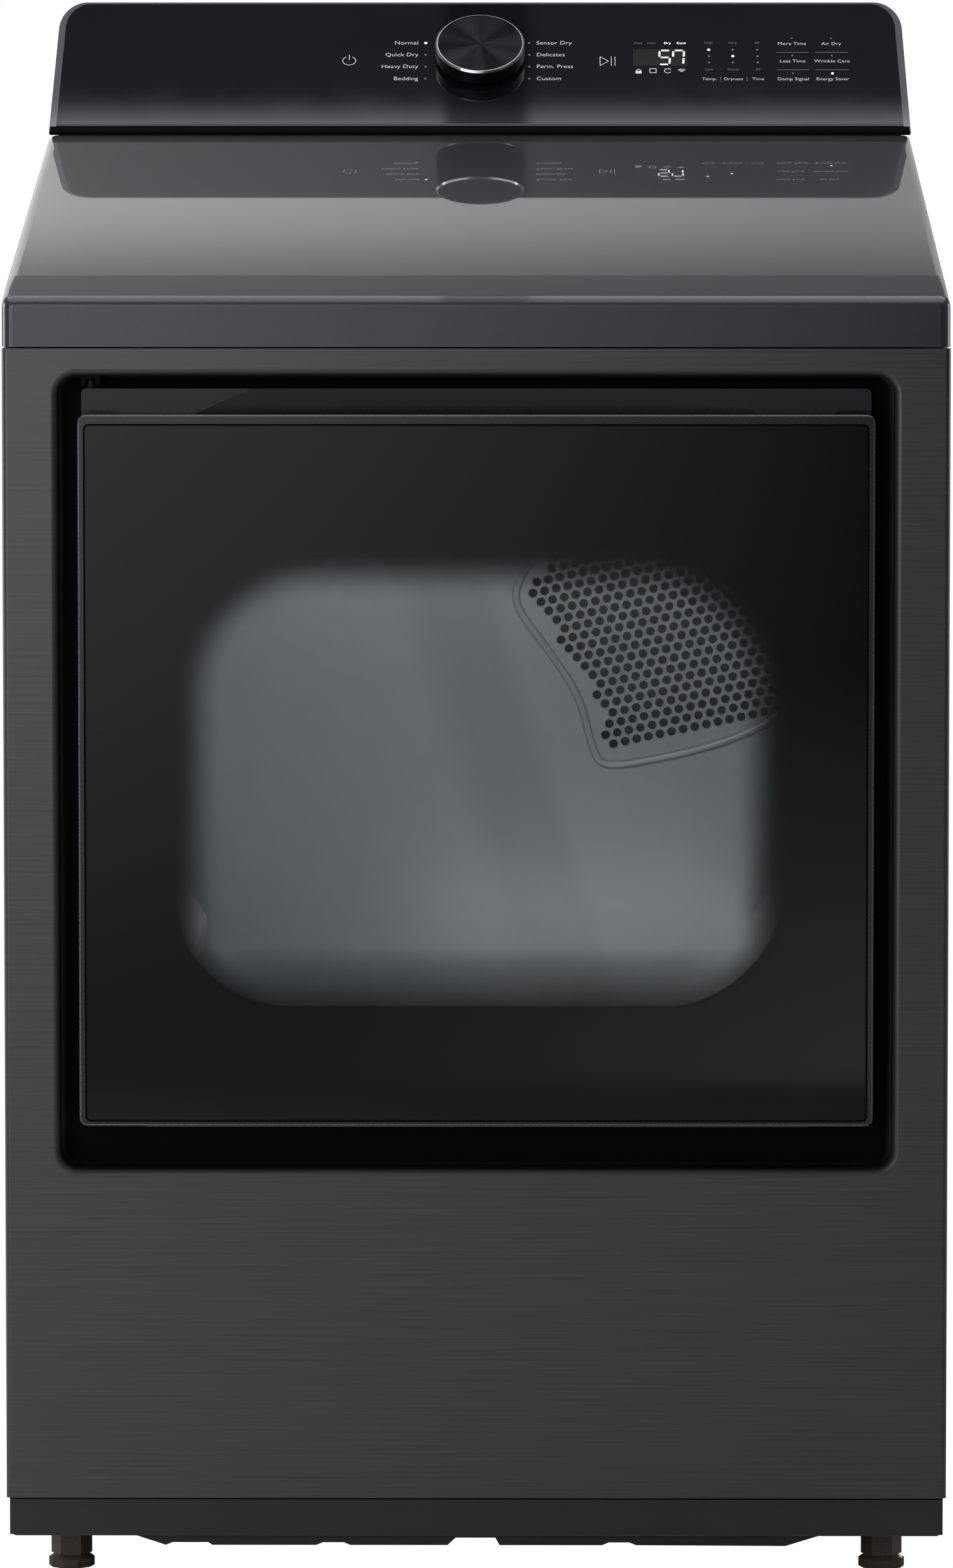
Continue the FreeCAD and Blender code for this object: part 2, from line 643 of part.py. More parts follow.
def make_rollers():
    reach = drum_r + seal_gap + roller_r
    dx = reach * math.sin(math.radians(roller_angle))
    z = drum_z - reach * math.cos(math.radians(roller_angle))
    axles = []
    rows = (("front", drum_front + 6, bulkhead_y + 1.5, drum_front + 30),
            ("rear", drum_back - 6 - roller_wide, drum_back - 30, rear_bulkhead_y))
    for row, y0, axle0, axle1 in rows:
        for side, x in (("left", -dx), ("right", dx)):
            wheel = rod_y(x, z, roller_r, y0, y0 + roller_wide)
            groove = ring_y(x, z, roller_r - 12, roller_r - 6, y0 - 1, y0 + 5)
            wheel = wheel.cut(groove).cut(rod_y(x, z, axle_r + running, y0 - 1, y0 + roller_wide + 1))
            save(row + "_" + side + "_roller", wheel)
            axles.append(rod_y(x, z, axle_r, axle0, axle1))
    save("roller_axles", *axles)


# ---- drive ----

def belt_loop(circles, y):
    """The outline of a belt drawn tight round circles (x, z, r), anticlockwise."""
    edges = []
    normals = []
    for (x0, z0, r0), (x1, z1, r1) in zip(circles, circles[1:] + circles[:1]):
        span = math.hypot(x1 - x0, z1 - z0)
        ux = (x1 - x0) / span
        uz = (z1 - z0) / span
        k = (r0 - r1) / span
        h = math.sqrt(1 - k * k)
        normals.append((ux * k + uz * h, uz * k - ux * h))
        nx, nz = normals[-1]
        edges.append(Part.makeLine(Vector(x0 + r0 * nx, y, z0 + r0 * nz),
                                   Vector(x1 + r1 * nx, y, z1 + r1 * nz)))
    for i, (x, z, r) in enumerate(circles):
        a0 = math.atan2(normals[i - 1][1], normals[i - 1][0])
        a1 = math.atan2(normals[i][1], normals[i][0])
        a1 += 2 * math.pi if a1 < a0 else 0
        spots = [Vector(x + r * math.cos(a), y, z + r * math.sin(a)) for a in (a0, (a0 + a1) / 2, a1)]
        edges.append(Part.Arc(*spots).toShape())
    return Part.Face(Part.Wire(Part.__sortEdges__(edges)))


def make_belt():
    g = seal_gap
    wheels = [(0, drum_z, drum_r + g), (idler_x, idler_z, idler_r + g), (motor_x, motor_z, pulley_r + g)]
    thick = [(x, z, r + belt_thick) for x, z, r in wheels]
    y = belt_y - belt_wide / 2
    loop = belt_loop(thick, y).cut(belt_loop(wheels, y))
    save("drive_belt", loop.extrude(Vector(0, belt_wide, 0)))


def make_motor():
    y0 = 195.0
    y1 = 312.0
    hub = shaft_r + running
    body = join([rod_y(motor_x, motor_z, motor_r - 0.5, y0 + 6, y1 - 6),
                 rod_y(motor_x, motor_z, motor_r - 14, y0, y1)])
    save("motor_body", body.cut(rod_y(motor_x, motor_z, hub, y0 - 1, y1 + 1)))
    pulley = join([rod_y(motor_x, motor_z, pulley_r, belt_y - 8, belt_y + 8),
                   rod_y(motor_x, motor_z, pulley_r + 4, belt_y - 8, belt_y - 6),
                   rod_y(motor_x, motor_z, pulley_r + 4, belt_y + 6, belt_y + 8),
                   rod_y(motor_x, motor_z, shaft_r, 98, belt_y + 12)])
    save("motor_shaft", pulley)
    hub = rod_y(motor_x, motor_z, 14, 100, 148)
    disc = rod_y(motor_x, motor_z, wheel_r, 145, 148)
    band = ring_y(motor_x, motor_z, wheel_r - 12, wheel_r, 98, 101)
    vanes = []
    for i in range(24):
        vane = box(motor_x + wheel_r - 11, motor_x + wheel_r - 1, 100.5, 145.5, motor_z - 0.8, motor_z + 0.8)
        vane.rotate(Vector(motor_x + wheel_r - 6, 0, motor_z), Vector(0, 1, 0), 35)
        vane.rotate(Vector(motor_x, 0, motor_z), Vector(0, 1, 0), 15 * i)
        vanes.append(vane)
    wheel = join([disc, hub, band] + vanes)
    save("blower_wheel", wheel.cut(rod_y(motor_x, motor_z, shaft_r, 90, 160)))


def make_idler():
    y0 = belt_y - 6
    wheel = join([rod_y(idler_x, idler_z, idler_r, y0, y0 + 12),
                  rod_y(idler_x, idler_z, idler_r + 3.5, y0, y0 + 1.6),
                  rod_y(idler_x, idler_z, idler_r + 3.5, y0 + 10.4, y0 + 12)])
    save("idler_pulley", wheel.cut(rod_y(idler_x, idler_z, 4 + running, y0 - 1, y0 + 13)))
    y1 = y0 + 12.6
    arm = join([rod_y(idler_pivot_x, idler_pivot_z, 9, y1, y1 + 4),
                rod_y(idler_x, idler_z, 9, y1, y1 + 4),
                box(idler_pivot_x, idler_x, y1, y1 + 4, idler_pivot_z - 5, idler_pivot_z + 9),
                rod_y(idler_x, idler_z, 4, y0, y1 + 1)])
    save("idler_arm", arm.cut(rod_y(idler_pivot_x, idler_pivot_z, 4 + running, y1 - 1, y1 + 5)))
    spring_z = idler_pivot_z - 7
    spring = rod_z(idler_x - 24, y1 + 7, 4, 25, spring_z).cut(rod_z(idler_x - 24, y1 + 7, 2.8, 20, spring_z + 1))
    save("idler_spring", spring)


# ---- air path ----

def make_blower_housing():
    t = 1.6
    y0 = bulkhead_y + 2.2
    y1 = 158.0
    r = wheel_r + 10
    out_x = duct_r + 66
    outer = join([rod_y(motor_x, motor_z, r + t, y0, y1),
                  box(out_x, motor_x, y0, y1, duct_z - 46, duct_z + 8)])
    inner = join([rod_y(motor_x, motor_z, r, y0 + t, y1 - t),
                  box(out_x - 1, motor_x, y0 + t, y1 - t, duct_z - 46 + t, duct_z + 8 - t)])
    shell = outer.cut(inner).cut(rod_y(motor_x, motor_z, 48, y0 - 1, y0 + t + 1))
    save("blower_housing", shell.cut(rod_y(motor_x, motor_z, 9, y1 - 5, y1 + 1)))


def make_lint_duct():
    t = 1.5
    y0 = recess_depth + 8
    y1 = bulkhead_y - 1
    top = mouth_bottom - 1.5
    half_x = filter_half + 12
    right = motor_x + 80
    outer = join([box(-half_x, half_x, y0, y1, 60, top), box(-half_x, right, y0, y1, 60, 212)])
    inner = join([box(-half_x + t, half_x - t, y0 + t, y1 - t, 60 + t, top + 1),
                  box(-half_x + t, right - t, y0 + t, y1 - t, 60 + t, 212 - t)])
    save("lint_duct", outer.cut(inner).cut(rod_y(motor_x, motor_z, 50, y1 - 5, y1 + 1)))


def make_lint_filter():
    y0 = filter_y
    y1 = filter_y + filter_thick
    x = filter_half
    top = mouth_bottom + 0.6
    blade = box(-x, x, y0, y1, mouth_bottom - filter_deep, top)
    pocket = box(-x + 4, x - 4, y0 + 2.4, y1 - 2.4, mouth_bottom - filter_deep + 5, top + 1)
    panes = [box(x0 + 3, x0 + 55, y0 - 1, y1 + 1, z0 + 3, z0 + 42)
             for x0 in (-116, -58, 0, 58) for z0 in (mouth_bottom - 146, mouth_bottom - 100, mouth_bottom - 54)]
    frame = blade.cut(pocket).cut(Part.makeCompound(panes))
    lip = box(-x - 6, x + 6, y0 - 0.2, y1 + 5, top, top + 3)
    lip = lip.cut(box(-x + 4, x - 4, y0 + 2.4, y1 - 2.4, top - 1, top + 4))
    screens = [box(-x + 4, x - 4, y, y + 0.5, mouth_bottom - filter_deep + 5, top) for y in (y0 + 1.9, y1 - 2.4)]
    save("lint_filter", join([frame, lip] + screens))


def make_heater_duct():
    t = 1.0
    y0 = rear_bulkhead_y + 2.0
    y1 = cabinet_depth - 12
    outer = join([box(14, 272, y0, y1, 520, 800), box(190, 300, y0, y1, 110, 560)])
    inner = join([box(14 + t, 272 - t, y0 - 1, y1 - t, 520 + t, 800 - t),
                  box(190 + t, 300 - t, y0 + t, y1 - t, 110 - 1, 560)])
    save("heater_duct", outer.cut(inner))
    bars = []
    for row in range(6):
        z = 170.0 + 36 * row
        bars.append(rod_x(y0 + 18, z, 4.0, 200, 290))
        bars.append(rod_x(y0 + 38, z + 18, 4.0, 200, 290))
    frame = [box(198, 202, y0 + 10, y0 + 46, 150, 390), box(288, 292, y0 + 10, y0 + 46, 150, 390)]
    save("heater_element", join(frame + bars))


def make_exhaust():
    t = 0.8
    y0 = drum_front + 2
    y1 = cabinet_depth - 2
    outer = join([rod_y(0, duct_z, duct_r, y0, y1),
                  box(20, duct_r + 65.2, y0, 158, duct_z - 46, duct_z + 8)])
    inner = join([rod_y(0, duct_z, duct_r - t, y0 + t, y1 + 1),
                  box(10, duct_r + 66.2, y0 + t, 158 - t, duct_z - 46 + t, duct_z + 8 - t)])
    save("exhaust_duct", outer.cut(inner))
    flange = ring_y(0, duct_z, duct_r + 0.4, collar_r + 12, cabinet_depth, cabinet_depth + 1.2)
    tube = ring_y(0, duct_z, duct_r + 0.4, collar_r, cabinet_depth - 30, cabinet_depth + collar_out)
    save("exhaust_collar", join([flange, tube]))


# ---- small fittings ----

def make_terminals():
    back = cabinet_depth - sheet
    save("terminal_block", box(cord_x - 24, cord_x + 24, back - 22, back, cord_z + 30, cord_z + 62))
    lid = box(cord_x - 34, cord_x + 34, back + sheet, back + 7, cord_z + 18, cord_z + 96)
    lid = lid.makeFillet(5.0, edges_along(lid, (0, 1, 0)))
    save("terminal_cover", lid)


def make_moisture_bars():
    bars = [box(-62, 62, y, y + 6, mouth_bottom, mouth_bottom + 2) for y in (38, 50)]
    save("moisture_bars", *bars)


def make_feet():
    rows = (("front", foot_setback), ("rear", cabinet_depth - foot_setback))
    for row, y in rows:
        for side, x in (("left", -foot_x), ("right", foot_x)):
            pad = polygon_z(x, y, foot_r, 10, 0, 6.5)
            cone = Part.makeCone(foot_r - 1.0, foot_r - 5.5, 3.5, Vector(x, y, 6.5))
            nut = polygon_z(x, y, 15.0, 6, 9.5, base_corner_z - 0.8)
            stud = rod_z(x, y, stud_r, base_corner_z - 2, panel_bottom - 5)
            save(row + "_" + side + "_foot", join([pad, cone, nut, stud]))


def polygon_z(x, y, r, sides, z0, z1):
    """An upright prism with the given number of flat sides."""
    corners = [Vector(x + r * math.cos(2 * math.pi * i / sides), y + r * math.sin(2 * math.pi * i / sides), z0)
               for i in range(sides)]
    return Part.Face(Part.makePolygon(corners + corners[:1])).extrude(Vector(0, 0, z1 - z0))


def make_screws():
    back = cabinet_depth
    spots = [(x, z, back) for x in (-333, 333) for z in (80, 240, 400, 560, 720, 870)]
    spots += [(x, z, back) for x in (-200, -70, 70, 200) for z in (66, 886)]
    spots += [(x, duct_z, back + 1.2) for x in (-collar_r - 6, collar_r + 6)]
    spots += [(x, console_top - 26, back) for x in (-300, -100, 100, 300)]
    heads = []
    for x, z, y in spots:
        corners = [Vector(x + 4.2 * math.cos(math.pi * i / 3), y, z + 4.2 * math.sin(math.pi * i / 3))
                   for i in range(6)]
        heads.append(Part.Face(Part.makePolygon(corners + corners[:1])).extrude(Vector(0, 3, 0)))
    save("cabinet_screws", *heads)


os.makedirs("parts", exist_ok=True)
make_side_panels()
make_front_panel()
make_rear_panel()
make_base_pan()
make_toe_kick()
make_top_cover()
make_console()
make_control_board()
make_knob()
make_door_glass()
make_door_frame()
make_door_liner()
make_door_window()
make_door_handle()
make_door_gasket()
make_door_pins()
make_hinge()
make_latch()
make_front_bulkhead()
make_rear_bulkhead()
make_drum()
make_seals()
make_rollers()
make_belt()
make_motor()
make_idler()
make_blower_housing()
make_lint_duct()
make_lint_filter()
make_heater_duct()
make_exhaust()
make_terminals()
make_moisture_bars()
make_feet()
make_screws()
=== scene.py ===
import json
import math
import bmesh
import bpy
from mathutils import Matrix, Vector


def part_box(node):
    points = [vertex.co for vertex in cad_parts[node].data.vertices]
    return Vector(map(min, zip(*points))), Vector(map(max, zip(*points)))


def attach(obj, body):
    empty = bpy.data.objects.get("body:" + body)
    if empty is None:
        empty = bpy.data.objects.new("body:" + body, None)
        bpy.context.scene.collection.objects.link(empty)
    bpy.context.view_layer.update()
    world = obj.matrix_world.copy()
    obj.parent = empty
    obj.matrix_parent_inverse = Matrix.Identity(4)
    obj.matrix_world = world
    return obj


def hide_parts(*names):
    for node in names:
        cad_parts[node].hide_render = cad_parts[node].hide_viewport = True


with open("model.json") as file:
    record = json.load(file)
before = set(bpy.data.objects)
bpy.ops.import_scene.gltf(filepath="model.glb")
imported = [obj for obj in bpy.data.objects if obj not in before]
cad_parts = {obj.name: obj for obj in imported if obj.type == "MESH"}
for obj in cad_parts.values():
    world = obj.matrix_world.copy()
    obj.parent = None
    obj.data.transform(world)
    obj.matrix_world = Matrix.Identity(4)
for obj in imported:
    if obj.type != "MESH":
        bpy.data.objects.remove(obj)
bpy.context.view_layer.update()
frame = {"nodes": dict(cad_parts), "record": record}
nodes = frame["nodes"]
print("frame loaded:", len(nodes), "nodes")


# helpers for node trees

# links a socket, and sets anything else as a value
def feed(tree, value, socket):
    if isinstance(value, bpy.types.NodeSocket):
        tree.links.new(value, socket)
    else:
        socket.default_value = value


def feedAll(tree, values, inputs):
    for key, value in values.items():
        feed(tree, value, inputs[key])


def addNode(tree, kind, values=None, **settings):
    node = tree.nodes.new(kind)
    for key, value in settings.items():
        setattr(node, key, value)
    feedAll(tree, values or {}, node.inputs)
    return node


def mathNode(tree, operation, *values, clamp=False):
    node = addNode(tree, "ShaderNodeMath", dict(enumerate(values)), operation=operation, use_clamp=clamp)
    return node.outputs[0]


def product(tree, *factors):
    value = factors[0]
    for factor in factors[1:]:
        value = mathNode(tree, "MULTIPLY", value, factor)
    return value


def remap(tree, value, low, high, fromLow=0.3, fromHigh=0.7):
    return addNode(tree, "ShaderNodeMapRange", {"Value": value, "From Min": fromLow, "From Max": fromHigh,
                                                "To Min": low, "To Max": high}).outputs[0]


def mixColors(tree, factor, a, b):
    a, b = ((*color[:3], 1.0) if isinstance(color, (tuple, list)) else color for color in (a, b))
    return addNode(tree, "ShaderNodeMix", {0: factor, 6: a, 7: b}, data_type="RGBA").outputs[2]


def toned(color, share):
    return [c * share for c in color]


def objectCoords(tree):
    return addNode(tree, "ShaderNodeTexCoord").outputs["Object"]


def objectAxes(tree):
    return addNode(tree, "ShaderNodeSeparateXYZ", {0: objectCoords(tree)}).outputs


def addNoise(tree, vector, scale, detail):
    node = addNode(tree, "ShaderNodeTexNoise", {"Vector": vector, "Scale": scale, "Detail": detail})
    return node.outputs[0]


# shader groups, each used by several finishes

def startTree(name, kind, inputs, outputs):
    tree = bpy.data.node_groups.new(name, kind)
    if kind == "GeometryNodeTree":
        tree.interface.new_socket("Geometry", in_out="INPUT", socket_type="NodeSocketGeometry")
    for label, value in inputs.items():
        socket = tree.interface.new_socket(label, in_out="INPUT", socket_type="NodeSocketFloat")
        socket.default_value = value
    for label, socketKind in outputs.items():
        tree.interface.new_socket(label, in_out="OUTPUT", socket_type=socketKind)
    return tree, tree.nodes.new("NodeGroupInput").outputs, tree.nodes.new("NodeGroupOutput").inputs


def startGroup(name, inputs, outputs):
    return startTree(name, "ShaderNodeTree", inputs, {label: "NodeSocketFloat" for label in outputs})


# noise that can be drawn out along any axis, for brushing, moulded grain and orange peel
def makeGrainGroup():
    sizes = {"Scale": 200.0, "Stretch X": 1.0, "Stretch Y": 1.0, "Stretch Z": 1.0, "Detail": 3.0}
    cloud = {"scale": 7.0, "detail": 3.0}
    tree, inp, out = startGroup("fineGrain", sizes, ("Grain", "Cloud"))
    coords = objectCoords(tree)
    stretch = addNode(tree, "ShaderNodeCombineXYZ", {axis: inp["Stretch " + axis] for axis in "XYZ"})
    scaled = addNode(tree, "ShaderNodeVectorMath", {0: coords, 1: stretch.outputs[0]}, operation="MULTIPLY")
    feed(tree, addNoise(tree, scaled.outputs[0], inp["Scale"], inp["Detail"]), out["Grain"])
    feed(tree, addNoise(tree, coords, cloud["scale"], cloud["detail"]), out["Cloud"])
    return tree


# settled dust: more on faces that look up, broken by noise
def makeDustGroup():
    tree, inp, out = startGroup("settledDust", {"Amount": 0.1, "Scale": 60.0}, ("Mask",))
    normal = addNode(tree, "ShaderNodeNewGeometry").outputs["Normal"]
    facingUp = addNode(tree, "ShaderNodeSeparateXYZ", {0: normal}).outputs["Z"]
    upward = mathNode(tree, "MULTIPLY_ADD", facingUp, 0.5, 0.3, clamp=True)
    broken = mathNode(tree, "MULTIPLY", upward, addNoise(tree, objectCoords(tree), inp["Scale"], 5.0))
    feed(tree, mathNode(tree, "MULTIPLY", broken, inp["Amount"], clamp=True), out["Mask"])
    return tree


# where an edge turns sharply within the width, broken by noise; it lightens edges, partly as wear and partly as
# a painted highlight
def makeEdgeWearAndSheenGroup():
    tree, inp, out = startGroup("edgeWearAndSheen", {"Width": 0.001, "Amount": 0.5, "Scale": 120.0}, ("Mask",))
    rounded = addNode(tree, "ShaderNodeBevel", {"Radius": inp["Width"]}, samples=4).outputs[0]
    normal = addNode(tree, "ShaderNodeNewGeometry").outputs["Normal"]
    facing = addNode(tree, "ShaderNodeVectorMath", {0: rounded, 1: normal}, operation="DOT_PRODUCT")
    turned = mathNode(tree, "SUBTRACT", 1.0, facing.outputs["Value"], clamp=True)
    sharp = mathNode(tree, "MULTIPLY", turned, 4.0, clamp=True)
    broken = mathNode(tree, "MULTIPLY", sharp, addNoise(tree, objectCoords(tree), inp["Scale"], 4.0))
    feed(tree, mathNode(tree, "MULTIPLY", broken, inp["Amount"], clamp=True), out["Mask"])
    return tree


# one inside a rounded rectangle in X and Z, fading to nought across its edge
def makeRoundedMaskGroup():
    sizes = {"Centre X": 0.0, "Centre Z": 0.0, "Half X": 0.2, "Half Z": 0.15, "Corner": 0.07, "Fade": 0.02}
    tree, inp, out = startGroup("roundedMask", sizes, ("Mask",))
    spot = objectAxes(tree)
    squares = []
    for axis in "XZ":
        away = mathNode(tree, "ABSOLUTE", mathNode(tree, "SUBTRACT", spot[axis], inp["Centre " + axis]))
        inner = mathNode(tree, "SUBTRACT", inp["Half " + axis], inp["Corner"])
        leg = mathNode(tree, "MAXIMUM", mathNode(tree, "SUBTRACT", away, inner), 0.0)
        squares.append(mathNode(tree, "POWER", leg, 2.0))
    reach = mathNode(tree, "SQRT", mathNode(tree, "ADD", *squares))
    distance = mathNode(tree, "SUBTRACT", reach, inp["Corner"])
    mask = remap(tree, distance, 1.0, 0.0, mathNode(tree, "MULTIPLY", inp["Fade"], -1.0), inp["Fade"])
    mask.node.interpolation_type = "SMOOTHERSTEP"
    feed(tree, mask, out["Mask"])
    return tree


grainGroup = makeGrainGroup()
dustGroup = makeDustGroup()
edgeWearAndSheenGroup = makeEdgeWearAndSheenGroup()
roundedMaskGroup = makeRoundedMaskGroup()


# finishes

def startMaterial(name):
    material = bpy.data.materials.new(name)
    material.use_nodes = True
    tree = material.node_tree
    return material, tree, tree.nodes["Principled BSDF"].inputs


def placeGroup(tree, group, values):
    return addNode(tree, "ShaderNodeGroup", values, node_tree=group).outputs


def placeGrain(tree, scale, detail=1.0, stretch=(1.0, 1.0, 1.0)):
    values = {"Stretch " + axis: share for axis, share in zip("XYZ", stretch)}
    return placeGroup(tree, grainGroup, {"Scale": scale, "Detail": detail, **values})


def addBump(tree, shader, height, strength, depth):
    bump = addNode(tree, "ShaderNodeBump", {"Height": height, "Strength": strength, "Distance": depth})
    feed(tree, bump.outputs[0], shader["Normal"])


# what a look has unless it says otherwise
plainLook = {"detail": 3.0, "stretch": (1.0, 1.0, 1.0), "tone": 0.12, "cloud": 0.1, "dust": 0.06,
             "dustTint": (0.42, 0.40, 0.38), "wearAndSheenWidth": 0.0012, "wornAndSheenTint": (0.30, 0.30, 0.31),
             "roughSpread": 0.06, "bump": 0.1, "depth": 0.0002, "metallic": 0.0, "coat": 0.0,
             "coatRough": 0.05, "ior": 1.5, "sheen": 0.0}


# a base colour, a drawn-out grain, a slow cloud and a little dust; where a look asks, painted shade toward the
# bottom of a grip pocket, and lighter edges that are partly wear and partly painted highlight
def grainFinish(name, ownLook):
    look = {**plainLook, **ownLook}
    base = look["base"]
    tone = look["tone"]
    material, tree, shader = startMaterial(name)
    grain = placeGrain(tree, look["grainScale"], look["detail"], look["stretch"])
    grained = remap(tree, grain["Grain"], 0.0, 1.0)
    color = mixColors(tree, grained, toned(base, 1 - tone), toned(base, 1 + tone))
    color = mixColors(tree, remap(tree, grain["Cloud"], 0.0, look["cloud"]), color, toned(base, 0.5))
    dust = placeGroup(tree, dustGroup, {"Amount": look["dust"], "Scale": 40.0})
    color = mixColors(tree, dust["Mask"], color, look["dustTint"])
    # painted shade: darker toward the bottom of the handle's grip pocket, where its shadow falls
    if "pocketShade" in look:
        low, high, share = look["pocketShade"]
        pocketShadeMask = remap(tree, objectAxes(tree)["Z"], 1.0, 0.0, low, high)
        color = mixColors(tree, pocketShadeMask, color, toned(base, share))
    # lighter edges: partly wear, partly a painted highlight along them
    if "wearAndSheen" in look:
        wearAndSheen = placeGroup(tree, edgeWearAndSheenGroup, {"Width": look["wearAndSheenWidth"], "Amount": look["wearAndSheen"]})
        color = mixColors(tree, wearAndSheen["Mask"], color, look["wornAndSheenTint"])
    low = look["rough"] - look["roughSpread"]
    high = look["rough"] + look["roughSpread"]
    addBump(tree, shader, grain["Grain"], look["bump"], look["depth"])
    feedAll(tree, {"Base Color": color, "Roughness": remap(tree, grain["Grain"], low, high),
                   "Metallic": look["metallic"], "Coat Weight": look["coat"], "IOR": look["ior"],
                   "Coat Roughness": look["coatRough"], "Sheen Weight": look["sheen"]}, shader)
    return material


# where a look has wear, its edges turn lighter, partly wear and partly a painted highlight
finishLooks = {
    "dark_paint": {"base": (0.040, 0.040, 0.043), "rough": 0.38, "grainScale": 900.0, "tone": 0.08,
                   "bump": 0.12, "depth": 0.0003, "coat": 0.15, "coatRough": 0.25, "wearAndSheen": 0.5},
    "galvanised_steel": {"base": (0.40, 0.41, 0.42), "rough": 0.40, "grainScale": 70.0, "tone": 0.10,
                         "detail": 1.0, "metallic": 0.85, "cloud": 0.12, "wearAndSheen": 0.6,
                         "wornAndSheenTint": (0.62, 0.62, 0.63)},
    "heatBlackened": {"base": (0.022, 0.021, 0.021), "rough": 0.60, "grainScale": 70.0, "tone": 0.3,
                      "detail": 2.0, "cloud": 0.4},
    "galvanised_dark": {"base": (0.035, 0.034, 0.038), "rough": 0.48, "grainScale": 600.0, "tone": 0.2,
                        "cloud": 0.3, "wearAndSheen": 0.5},
    "circuit_board": {"base": (0.02, 0.10, 0.05), "rough": 0.35, "grainScale": 500.0, "coat": 0.5},
    "heater_wire": {"base": (0.30, 0.24, 0.20), "rough": 0.45, "grainScale": 700.0, "metallic": 0.9,
                    "tone": 0.3},
    "black_plastic": {"base": (0.014, 0.014, 0.016), "rough": 0.50, "grainScale": 1400.0, "bump": 0.25,
                      "depth": 0.0002},
    "motor_paint": {"base": (0.05, 0.05, 0.055), "rough": 0.42, "grainScale": 500.0, "stretch": (1, 40, 1),
                    "metallic": 0.4, "wearAndSheen": 0.7},
    "belt_rubber": {"base": (0.016, 0.016, 0.016), "rough": 0.72, "grainScale": 900.0,
                    "stretch": (1, 6, 1)},
    "seal_felt": {"base": (0.33, 0.31, 0.28), "rough": 0.95, "grainScale": 1500.0, "tone": 0.3,
                  "bump": 0.6, "depth": 0.0006, "sheen": 0.3},
    "bright_steel": {"base": (0.55, 0.55, 0.56), "rough": 0.28, "grainScale": 500.0, "metallic": 1.0,
                     "tone": 0.1},
    "black_zinc": {"base": (0.008, 0.008, 0.009), "rough": 0.45, "grainScale": 500.0, "metallic": 0.5,
                   "tone": 0.2},
    "liner_plastic": {"base": (0.075, 0.08, 0.085), "rough": 0.45, "grainScale": 1200.0, "bump": 0.2},
    # the handle, with painted shade toward the bottom of its grip pocket
    "handle_plastic": {"base": (0.016, 0.013, 0.021), "rough": 0.34, "grainScale": 1100.0, "bump": 0.06,
                       "coat": 0.1, "coatRough": 0.2, "pocketShade": (0.816, 0.850, 0.35)},
    "seal_rubber": {"base": (0.025, 0.025, 0.025), "rough": 0.65, "grainScale": 800.0, "bump": 0.2},
    # near black, dull and low in gloss: the seal round the door glass, and the strip of painted shade in the
    # gap under the console lip
    "sealAndGapShadeBlack": {"base": (0.0025, 0.0025, 0.003), "rough": 0.90, "grainScale": 800.0, "bump": 0.1,
                  "ior": 1.2, "dust": 0.0},
    "blackOxide": {"base": (0.0022, 0.0022, 0.0024), "rough": 0.62, "grainScale": 500.0, "tone": 0.3,
                   "ior": 1.25, "dust": 0.0},
    # lighter and more metallic than the frame plastic: a painted highlight along the frame's rounded edge
    "frameEdgeHighlight": {"base": (0.22, 0.22, 0.26), "rough": 0.30, "grainScale": 900.0, "bump": 0.03,
                  "metallic": 0.6, "dust": 0.0},
    "lipPlastic": {"base": (0.016, 0.013, 0.021), "rough": 0.34, "grainScale": 900.0, "bump": 0.03},
    "drum_steel": {"base": (0.50, 0.51, 0.52), "rough": 0.30, "grainScale": 260.0, "stretch": (1, 0.05, 1),
                   "metallic": 1.0, "tone": 0.12, "bump": 0.08},
    "baffle_plastic": {"base": (0.30, 0.31, 0.32), "rough": 0.42, "grainScale": 900.0, "bump": 0.12},
    "roller_rubber": {"base": (0.022, 0.022, 0.022), "rough": 0.68, "grainScale": 900.0},
    "wheel_plastic": {"base": (0.72, 0.71, 0.67), "rough": 0.38, "grainScale": 700.0, "tone": 0.05},
    "filter_plastic": {"base": (0.085, 0.085, 0.09), "rough": 0.48, "grainScale": 1100.0, "bump": 0.2},
    "foot_plastic": {"base": (0.085, 0.066, 0.050), "rough": 0.42, "grainScale": 600.0, "tone": 0.3,
                     "bump": 0.25, "depth": 0.0004, "dust": 0.12, "wearAndSheen": 0.4, "wornAndSheenTint": (0.22, 0.19, 0.16)},
    "frame_plastic": {"base": (0.020, 0.020, 0.030), "rough": 0.26, "grainScale": 900.0, "bump": 0.04,
                      "coat": 0.5, "coatRough": 0.1, "tone": 0.1},
}


